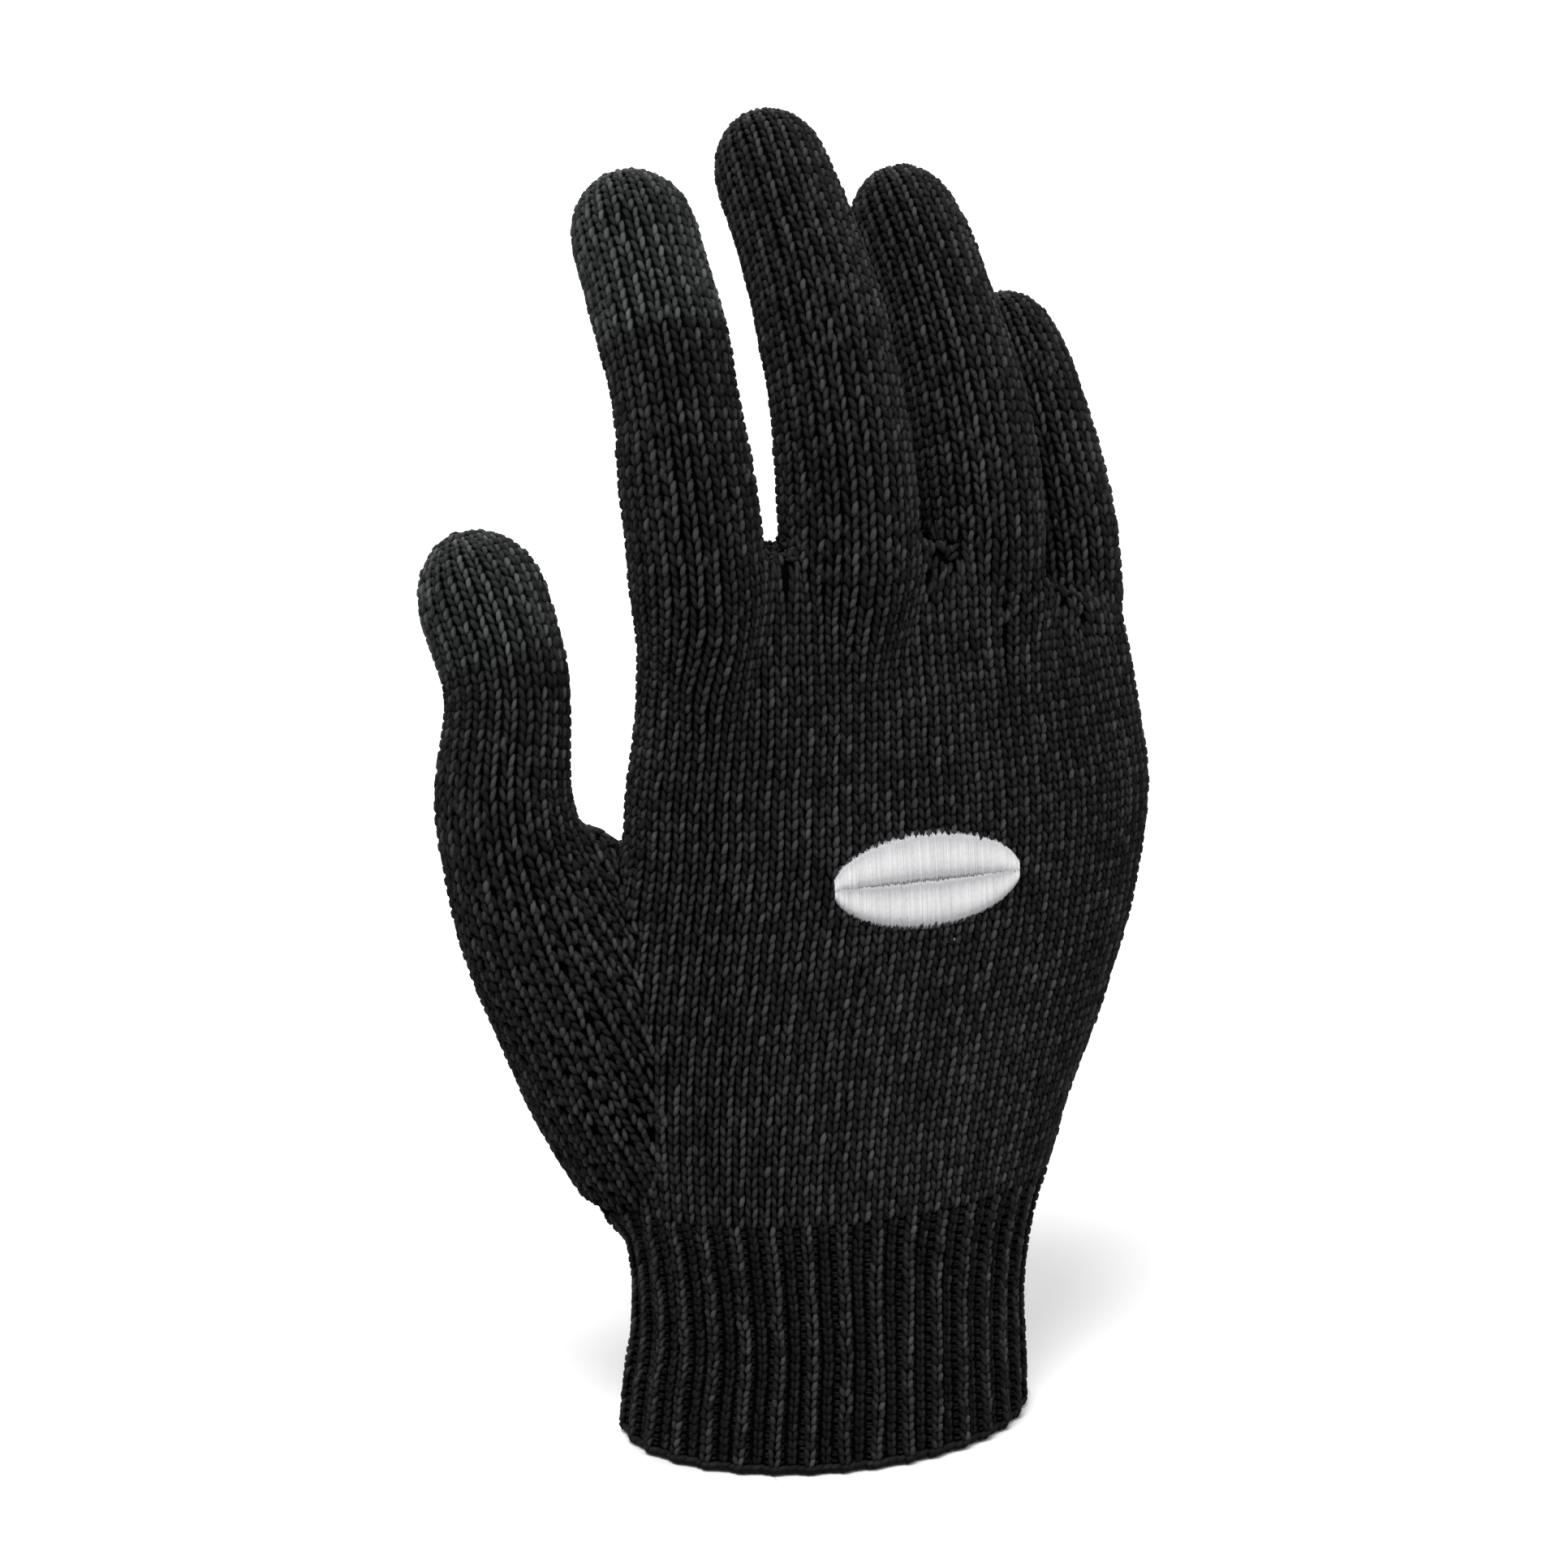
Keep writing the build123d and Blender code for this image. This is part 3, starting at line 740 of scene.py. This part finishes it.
def lay(targets, keep, pieces, tone):
    """Lays a grid of wales by courses of stitches on the skin and puts each in its piece's bag."""
    place, normal, along, course = wales_on_skin(targets)
    gap = np.linalg.norm(place - np.roll(place, 1, axis=0), axis=-1)
    pitch = np.minimum(gap, np.roll(gap, -1, axis=0))
    pitch = np.clip(pitch, 0.3, 3.4)
    wale = np.arange(len(targets))[:, None] * np.ones_like(pitch, int)
    dense = pitch < CROWDED
    keep = keep & (~dense | (wale % 2 == 0)) & ((pitch > VERY_CROWDED) | (wale % 4 == 0))
    pitch = np.where(dense, np.where(pitch < VERY_CROWDED, pitch * 4, pitch * 2), pitch)
    keep = keep & (course > 0.35)
    keep = keep & (np.linalg.norm(place - targets, axis=-1) < 3.0)
    laid.append((place[keep], along[keep]))
    for name in np.unique(pieces[keep]):
        m = keep & (pieces == name)
        wide, tall = np.clip(pitch[m], *STITCH_WIDE), np.clip(course[m], *STITCH_TALL)
        for mesh in knit_legs(place[m], normal[m], along[m], wide, tall, tone[m]):
            bag(str(name)).add(mesh)


# The hand's wale that each finger's first one goes on from, and the heights of the webs beside the finger
SHARE_FROM = {"index": 0, "middle": 12, "ring": 24, "little": 36}
WEBS = {"index": (None, 149.6), "middle": (149.6, 149.6), "ring": (149.6, 140.8), "little": (140.8, None)}
HAND_WALES = 46
theta_z = np.linspace(38, 152, 58)
theta_share = np.linspace(0, 1, 93)
theta_table = {back: np.stack([side_theta(theta_share, z, back) for z in theta_z])
               for back in (True, False)}


def hand_theta(share, z, back):
    """side_theta read from a table, for many places at once."""
    row = np.clip((z - theta_z[0]) / (theta_z[1] - theta_z[0]), 0, len(theta_z) - 1.001)
    column = np.clip(share * (len(theta_share) - 1), 0, len(theta_share) - 1.001)
    r, c = row.astype(int), column.astype(int)
    fr, fc = row - r, column - c
    t = theta_table[back]
    return ((1 - fr) * ((1 - fc) * t[r, c] + fc * t[r, c + 1])
            + fr * ((1 - fc) * t[r + 1, c] + fc * t[r + 1, c + 1]))


def course_stations(digit, first, step):
    """Arc lengths of the courses, a step apart over the surface from the first to the tip."""
    s = np.linspace(min(first, 0), digit.length * 0.9995, 3000)
    r = digit.radius(np.maximum(s, 0))
    inward = np.where(s[1:] > digit.dome_start, np.diff(r), 0)
    walk = np.concatenate([[0], np.cumsum(np.hypot(np.diff(s), inward))])
    return np.interp(np.arange(0, walk[-1], step), walk, s)


def piece_names(name, s, in_hand):
    """The piece that each place along a digit belongs to, given its piece where it is still in the hand."""
    number = segment_at(name, s)
    out = np.array(in_hand, dtype="U40")
    for i in range(len(digits[name].hinge_s)):
        out = np.where(number == i, f"{segments[name, i].name}_knit", out)
    return out


def hand_piece(back, x):
    """The name of the piece of the hand's knit at an x; numbers or arrays of them."""
    face = "back" if back else "palm"
    return np.where(np.asarray(x) < HAND_MIDDLE, f"hand_{face}_thumb_side_knit",
                    f"hand_{face}_little_side_knit")


def lay_finger(name):
    """One finger's wales, back and palm, from the cuff up through the hand to the finger's tip."""
    digit = digits[name]
    count = WALES[name]
    webs = WEBS[name]
    z0 = digit.line[0, 2]
    stations = course_stations(digit, 42.4 - z0, HAND_COURSE)
    targets, keeps, tones, pieces = [], [], [], []
    for back in (True, False):
        order = range(count) if back else range(count - 1, -1, -1)
        for j in order:
            share = np.clip((SHARE_FROM[name] + j + 0.5) / HAND_WALES, 0.0, 1.0)
            z = z0 + stations
            in_hand = hand_point(hand_theta(share, z, back), np.minimum(z, WEB_TOP))
            in_hand[:, 2] = z
            turn = math.pi * (j + 0.5) / count
            angle = math.pi + turn if back else math.pi - turn
            on_finger = digit.point(np.full(len(stations), angle), np.maximum(stations, 0.0))
            across = 2 * (j + 0.5) / count - 1
            web = webs[0] if across < 0 else webs[1]
            other = min(w for w in webs if w)
            near = across ** 2 if web else 0.0
            web = web or other
            move = smoothstep(z, (1 - near) * (web - 24) + near * (web - 6),
                              (1 - near) * (web + 1) + near * (web + 4))
            targets.append(in_hand * (1 - move)[:, None] + on_finger * move[:, None])
            keeps.append(np.ones(len(stations), bool))
            tones.append(np.full(len(stations), 0.62) * (1 + RNG.normal(0, 0.05)))
            pieces.append(piece_names(name, stations, hand_piece(back, in_hand[:, 0])))
    targets, keeps, pieces = np.array(targets), np.array(keeps), np.array(pieces)
    flat = targets.reshape(-1, 3)
    thumb_gap = digits["thumb"].outside(flat).reshape(keeps.shape)
    keeps &= thumb_gap > -0.35
    for other_name in FINGERS:
        if other_name != name:
            gap = digits[other_name].outside(flat).reshape(keeps.shape)
            keeps &= ~((gap < -0.6) & (targets[..., 2] > 150))
    tones = np.array(tones) * (1 + RNG.normal(0, 0.04, keeps.shape))
    lay(targets, keeps, pieces, tones)


THUMB_BOTTOM = 42.5           # the thumb's wales start above this height, mm


def lay_thumb():
    """The thumb's wales, round the tube from its base in the hand to its tip."""
    digit = digits["thumb"]
    stations = course_stations(digit, 4.0, HAND_COURSE)
    angles = 2 * math.pi * (np.arange(THUMB_WALES) + 0.5) / THUMB_WALES + math.pi
    targets = np.stack([digit.point(np.full(len(stations), a), stations) for a in angles])
    keep = hand_outside(targets.reshape(-1, 3)).reshape(targets.shape[:2]) > -0.2
    keep |= stations[None] > digit.hinge_s[0] - 4
    keep &= targets[..., 2] > THUMB_BOTTOM
    base = np.full(len(stations), "thumb_base_knit")
    pieces = np.array([piece_names("thumb", stations, base) for _ in angles])
    touch = stations[None] > digit.hinge_s[-1] + THUMB_TOUCH_FROM + 0.8 * np.sin(angles * 5)[:, None]
    pieces = np.where(touch, "thumb_touch_knit", pieces)
    tones = 0.62 * (1 + RNG.normal(0, 0.05, (len(angles), 1))) * (1 + RNG.normal(0, 0.04, keep.shape))
    lay(targets, keep, pieces, tones)


# ------------------------------------------------------------------ the cuff
def lay_cuff():
    """The ribs: a wide wale and a narrow one in turn, with purl bumps in the furrows between them; the sunk
    narrow wale and the purl bumps get a darker tone as painted shade in the furrows.
    """
    rows = np.arange(CUFF_BOTTOM + 0.9, CUFF_KNIT_TOP, CUFF_COURSE)
    # Painted shade: the narrow wale, sunk lower between the wide ones, gets a darker tone (0.40 against
    # 0.66)
    columns = ((0.0, 2.15, 0.66, 0.05), (0.5, 1.55, 0.40, -0.25))    # place, width, tone and rise
    period = 2 * math.pi / RIBS
    for offset, wide, tone, rise in columns:
        phases = (np.arange(RIBS) + offset) * period
        theta = theta_of(phases)
        targets = np.stack([hand_point(np.full(len(rows), t), rows) for t in theta])
        place, normal, along, course = wales_on_skin(targets)
        left = (np.cos(theta) < 0)[:, None] & np.ones(course.shape, bool)
        for name, m in (("cuff_thumb_side_knit", left), ("cuff_little_side_knit", ~left)):
            count = m.sum()
            tones = np.full(count, tone) * (1 + RNG.normal(0, 0.06, count))
            for mesh in knit_legs(place[m] + normal[m] * rise, normal[m], along[m], np.full(count, wide),
                                  course[m], tones):
                bag(name).add(mesh)
    for offset in (0.25, 0.75):
        phases = (np.arange(RIBS) + offset) * period
        theta = theta_of(phases)
        for half in (0.0, 0.5):
            heights = rows + half * CUFF_COURSE
            targets = np.stack([hand_point(np.full(len(rows), t), heights) for t in theta])
            place, normal = on_skin(targets)
            normal, place = normal.reshape(-1, 3), place.reshape(-1, 3)
            across = unit(np.cross(UP, normal))
            count = len(place)
            t = np.linspace(-1, 1, 6)
            reach = 0.72 * (1 + RNG.normal(0, 0.08, (count, 1)))
            lift = 0.10 - 0.42 * t[None] ** 2 + RNG.normal(0, 0.04, (count, 1))
            bow = (0.16 if half else -0.16) * (1 - t[None] ** 2) * np.ones((count, 1))
            line = (place[:, None] + across[:, None] * (t[None] * reach)[..., None]
                    + normal[:, None] * lift[..., None] + UP * bow[..., None])
            size = LEG_WIDE[None] * np.ones((count, 1))
            # Painted shade: the purl bumps in the furrows get a darker tone
            tone = np.full(count, 0.34) * (1 + RNG.normal(0, 0.2, count))
            left = np.repeat(np.cos(theta) < 0, len(rows))
            for name, m in (("cuff_thumb_side_knit", left), ("cuff_little_side_knit", ~left)):
                bag(name).add(grains(line[m], size[m] * 0.30, size[m] * 0.32, normal[m], tone[m]))


def lay_rim():
    """The bound-off edge: a chain of slanting stitches round the bottom, and the yarn rolled under it,
    painted darker as shade.
    """
    count = RIBS * 4
    phases = np.arange(count) / count * 2 * math.pi
    theta = theta_of(phases)
    place, normal = on_skin(hand_point(theta, np.full(count, 1.5)))
    place[:, 2] = 1.25
    normal = unit(normal * np.array([1, 1, 0]))
    run = unit(np.roll(place, -1, axis=0) - np.roll(place, 1, axis=0))
    step = np.linalg.norm(np.roll(place, -1, axis=0) - place, axis=1)
    t = LEG_AT[None] - 0.5
    # Painted shade: the yarn rolled under the edge, lower and further in, gets a darker tone than the chain
    # above it
    for lift, out, tone in ((0.15, 0.28, 0.50), (-0.42, 0.05, 0.36)):
        line = (place[:, None] + run[:, None] * (t * step[:, None] * 1.7)[..., None]
                + normal[:, None] * (out + 0.18 * np.cos(math.pi * t) * np.ones((count, 1)))[..., None]
                + UP * (lift + 0.5 * t * np.ones((count, 1)))[..., None])
        size = LEG_WIDE[None] * (1 + RNG.normal(0, 0.06, (count, 1)))
        tones = np.full(count, tone) * (1 + RNG.normal(0, 0.1, count))
        bag("cuff_rim_knit").add(grains(line, size * 0.46, size * 0.42, normal, tones))


FILL_CLEAR = 1.45             # bare cloth further than this from any stitch is filled, mm
FILL_APART = 1.75             # between neighbouring stitches of the fill, and their row height
FILL_WIDE = 2.3
FILL_BOTTOM = 41.9            # the cuff's knit starts below this height


def lay_fill():
    """Fills what the wales leave bare, at the webs and round the thumb, with stitches of its own."""
    places = np.concatenate([p for p, _ in laid])
    runs = np.concatenate([a for _, a in laid])
    tree = KDTree(len(places))
    for i, place in enumerate(places):
        tree.insert(Vector(place), i)
    tree.balance()
    names = list(digits)
    chosen = {}
    cells = {}
    for face in np.lexsort((face_middle[:, 0], np.round(face_middle[:, 2] / HAND_COURSE))):
        middle = face_middle[face]
        if middle[2] < FILL_BOTTOM:
            continue
        _, nearest, gap = tree.find(Vector(middle))
        if gap < FILL_CLEAR:
            continue
        cell = tuple(np.floor(middle / FILL_APART).astype(int))
        around = [p for dx in (-1, 0, 1) for dy in (-1, 0, 1) for dz in (-1, 0, 1)
                  for p in cells.get((cell[0] + dx, cell[1] + dy, cell[2] + dz), [])]
        if any(np.linalg.norm(p - middle) < FILL_APART for p in around):
            continue
        cells.setdefault(cell, []).append(middle)
        if face_segment[face] >= 0:
            piece = segments[names[face_digit[face]], face_segment[face]].name + "_knit"
        else:
            piece = str(hand_piece(middle[1] < 0, middle[0]))
        normal = unit(skin_normals[skin_quads[face]].sum(0))
        run = runs[nearest]
        chosen.setdefault(piece, []).append((middle, normal, unit(run - normal * (run @ normal))))
    for piece, rows in chosen.items():
        place, normal, along = (np.array(c) for c in zip(*rows))
        count = len(place)
        for mesh in knit_legs(place, normal, along, np.full(count, FILL_WIDE), np.full(count, FILL_APART),
                              0.56 * (1 + RNG.normal(0, 0.08, count))):
            bag(piece).add(mesh)


FUZZ_CHANCE = 0.08            # how many of the legs have a loose fibre


def lay_fuzz():
    """Loose fibre ends that stand off the yarn, rooted in stitches of the same piece."""
    for name, contents in bags.items():
        if not name.endswith("_knit") or name.startswith("cuff_rim"):
            continue
        roots = np.concatenate([v[8::LEG_POINTS] for v in contents.verts if len(v) % LEG_POINTS == 0])
        roots = roots[RNG.random(len(roots)) < FUZZ_CHANCE]
        count = len(roots)
        if not count:
            continue
        place, normal = on_skin(roots)
        side = unit(np.cross(normal, RNG.normal(0, 1, (count, 3))))
        reach = 0.9 + RNG.gamma(2.0, 0.45, (count, 1))
        t = np.linspace(0, 1, 6)[None]
        curl = RNG.normal(0, 0.7, (count, 1))
        other = np.cross(normal, side)
        line = (place[:, None] + normal[:, None] * (0.3 + (0.75 * reach * t * (1 - 0.35 * t)))[..., None]
                + side[:, None] * (reach * t * 0.9)[..., None]
                + other[:, None] * (curl * reach * t ** 2)[..., None])
        size = np.clip(1.1 - t, 0.25, 1) * 0.032 * np.ones((count, 1))
        contents.add(grains(line, size, size, normal, 0.62 * (1 + RNG.normal(0, 0.2, count))))


for finger in FINGERS:
    lay_finger(finger)
lay_thumb()
lay_fill()
lay_cuff()
lay_rim()
lay_fuzz()


# ------------------------------------------------------------------ the emblem
EMBLEM_CENTRE = (12.0, 96.0)
EMBLEM_HALF = (17.0, 8.5)
EMBLEM_STOPS = 8              # points along a thread
EMBLEM_OVERLAP = 0.6          # how far each column's threads pass the seam between the two, mm
EMBLEM_FRONT = -16.0          # y in front of the back of the hand, from where the skin is looked for
# Threads in a column, tone, rise, reach of the outline, and half width, for the padding and then the satin;
# the padding's lower tone is painted shade under the satin
EMBLEM_LAYERS = ((70, 0.45, 0.75, 0.90, 0.3), (142, 0.80, 1.0, 0.985, 0.19))


def lay_emblem():
    """A plain filled oval of satin stitch in two columns of close threads, over a padding layer."""
    for count, tone, raise_by, reach, half_wide in EMBLEM_LAYERS:
        x_flat = ((np.arange(count) + 0.5) / count * 2 - 1) * (EMBLEM_HALF[0] - 0.3)
        half = EMBLEM_HALF[1] * np.sqrt(1 - (x_flat / EMBLEM_HALF[0]) ** 2) * reach
        t = np.linspace(0, 1, EMBLEM_STOPS)[None]
        for up in (-1, 1):
            ends = half * (1 + RNG.normal(0, 0.012, count))
            middle = RNG.normal(0, 0.12, count)
            x = EMBLEM_CENTRE[0] + np.repeat(x_flat[:, None], EMBLEM_STOPS, 1)
            z = (EMBLEM_CENTRE[1] + (middle[:, None] - EMBLEM_OVERLAP * up) * (1 - t)
                 + up * np.minimum(ends, EMBLEM_HALF[1])[:, None] * t)
            probe = np.stack([x, np.full_like(x, EMBLEM_FRONT), z], -1)
            place, normal = on_skin(probe)
            place[..., 0], place[..., 2] = x, z
            arch = 1 - t ** 9
            lift = 0.25 + (raise_by - 0.25 + RNG.normal(0, 0.03, (count, 1))) * arch
            wide = np.full((count, EMBLEM_STOPS), half_wide)
            wide[:, -1] = 0.06
            tones = np.full(count, tone) * (1 + RNG.normal(0, 0.06, count))
            line = place + normal * lift[..., None]
            bag("emblem_satin").add(grains(line, wide, wide * 1.05, unit(normal.mean(1)), tones))


lay_emblem()


def lay_darn(name, spread, count):
    """Closing stitches of the same yarn, laid this way and that over a crotch of the knit."""
    low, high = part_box(name)
    middle = np.array((low + high) / 2) / MM
    spread = np.array(spread)
    offsets = (RNG.random((count, 3)) * 2 - 1) * spread
    turn = RNG.normal(0, 0.7, count) + np.where(np.arange(count) % 3 == 0, math.pi / 2, 0.0)
    place, normal = on_skin(middle + offsets + np.array([0, 0, 1.5]))
    first = unit(np.cross(normal, np.array([0.0, 1.0, 0.0])))
    second = np.cross(normal, first)
    run = first * np.cos(turn)[:, None] + second * np.sin(turn)[:, None]
    t = np.linspace(-1, 1, 6)
    line = place[:, None] + run[:, None] * (t[None] * (1.5 + RNG.random((count, 1)) * 0.7))[..., None]
    flat, up = on_skin(line)
    line = flat + up * (0.45 - 0.35 * t[None] ** 2 + RNG.random((count, 1)) * 0.4)[..., None]
    size = LEG_WIDE[None] * (1 + RNG.normal(0, 0.08, (count, 1))) * 0.42
    bag(name + "_darn").add(grains(line, size, size, normal, 0.5 * (1 + RNG.normal(0, 0.15, count))))


# How far the closing stitches spread each way, mm, and how many there are
DARNS = {
    "index_middle_crotch_seam": ((2.2, 7.0, 1.0), 26),
    "middle_ring_crotch_seam": ((2.2, 7.0, 1.0), 26),
    "ring_little_crotch_seam": ((2.0, 6.0, 1.0), 24),
    "thumb_crotch_seam": ((3.0, 5.5, 2.5), 24),
}
for darn, (spread, count) in DARNS.items():
    lay_darn(darn, spread, count)

# ------------------------------------------------------------------ build the pieces
names = list(digits)
in_hand = face_segment < 0
cuff = face_middle[:, 2] < CUFF_KNIT_TOP
shell = shell_piece("hand_inner_shell", in_hand & ~cuff, SHADED_INNER)
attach(shell, "hand")
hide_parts("hand_shell")
cuff_shell = shell_piece("cuff_inner_shell", in_hand & cuff, SHADED_INNER)
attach(cuff_shell, "hand")
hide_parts("cuff_rib", "cuff_hem")
# Words in the names of the nodes that a segment's shell replaces
COVERED = {"knuckle": ("knuckle", "proximal"), "middle_joint": ("middle_joint", "middle_tube"),
           "tip_joint": ("tip", "touch")}
for (name, i), segment in segments.items():
    mask = (face_digit == names.index(name)) & (face_segment == i)
    touch = name in TOUCH_DIGITS and segment.kind == "tip_joint"
    base = shell_piece(f"{segment.name}_inner_shell", mask, SHADED_INNER_TOUCH if touch else SHADED_INNER)
    segment.bend(base)
    covered = [n for n in frame["nodes"] if n.startswith(name + "_") and "crotch" not in n
               and any(word in n for word in COVERED[segment.kind])]
    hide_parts(*covered)

SLOTS = {"touch_knit": TOUCH, "rib_knit": RIB, "white_thread": WHITE, "black_knit": BLACK}
for name, contents in bags.items():
    slot = "black_knit"
    if name in ("thumb_touch_knit", "index_tip_joint_knit"):
        slot = "touch_knit"
    elif name.startswith("cuff"):
        slot = "rib_knit"
    elif name == "emblem_satin":
        slot = "white_thread"
    material = SLOTS[slot]
    obj = contents.build(name, material, slot)
    found = [s for s in segments.values() if name.startswith(s.name)]
    if name == "thumb_touch_knit":
        found = [segments["thumb", 1]]
    if found:
        found[0].bend(obj)
    else:
        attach(obj, "hand")
    if name == "emblem_satin":
        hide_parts("emblem_stitching")
    if name.endswith("_darn"):
        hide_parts(name.removesuffix("_darn"))

# ------------------------------------------------------------------ what is left of the frame
LEFT = {"emblem_backing": BACKING, "cuff_elastic_threads": ELASTIC, "care_label": LABEL,
        "label_stitches": LABEL_THREAD}
for node, material in LEFT.items():
    obj = frame["nodes"][node]
    obj.data.materials.clear()
    obj.data.materials.append(material)

# ------------------------------------------------------------------ studio
AIM = Vector((0.00398, 0.02562, 0.10424))
AZIMUTH, ELEVATION, DISTANCE = math.radians(-24.0), math.radians(13.5), 0.750

floor_mesh = bpy.data.meshes.new("floor")
FLOOR_HALF = 60.0             # m
corners = [(x * FLOOR_HALF, y * FLOOR_HALF, 0) for x, y in ((-1, -1), (1, -1), (1, 1), (-1, 1))]
floor_mesh.from_pydata(corners, [], [(0, 1, 2, 3)])
floor = bpy.data.objects.new("floor", floor_mesh)
bpy.context.scene.collection.objects.link(floor)
white = bpy.data.materials.new("floor_white")
white.use_nodes = True
white.node_tree.nodes["Principled BSDF"].inputs["Base Color"].default_value = (0.42, 0.42, 0.42, 1)
white.node_tree.nodes["Principled BSDF"].inputs["Roughness"].default_value = 0.8
floor_mesh.materials.append(white)
floor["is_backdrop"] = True


def sun(name, azimuth, elevation, strength, angle):
    """A wide soft sun; azimuth 0 shines from the back of the hand's side, -90 from the thumb's."""
    light = bpy.data.lights.new(name, "SUN")
    light.energy = strength
    light.angle = math.radians(angle)
    obj = bpy.data.objects.new(name, light)
    bpy.context.scene.collection.objects.link(obj)
    a, e = math.radians(azimuth), math.radians(elevation)
    place = Vector((math.sin(a) * math.cos(e), -math.cos(a) * math.cos(e), math.sin(e)))
    obj.location = place * 2
    obj.rotation_euler = (-place).to_track_quat("-Z", "Y").to_euler()
    return obj


sun("key", -42, 64, 6.0, 28)
sun("fill", 40, 30, 0.9, 40)
sun("rear", 165, 35, 2.6, 40)

world = bpy.data.worlds.new("studio")
bpy.context.scene.world = world
world.use_nodes = True
world.node_tree.nodes["Background"].inputs["Color"].default_value = (1, 1, 1, 1)
world.node_tree.nodes["Background"].inputs["Strength"].default_value = 1.0

camera_data = bpy.data.cameras.new("camera")
camera_data.lens = 100.9
camera_data.sensor_width = 36.0
camera = bpy.data.objects.new("camera", camera_data)
bpy.context.scene.collection.objects.link(camera)
camera.location = AIM + DISTANCE * Vector((math.sin(AZIMUTH) * math.cos(ELEVATION),
                                           -math.cos(AZIMUTH) * math.cos(ELEVATION), math.sin(ELEVATION)))
camera.rotation_euler = (AIM - camera.location).to_track_quat("-Z", "Y").to_euler()
bpy.context.scene.camera = camera
bpy.context.scene.view_settings.view_transform = "Standard"

low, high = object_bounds()
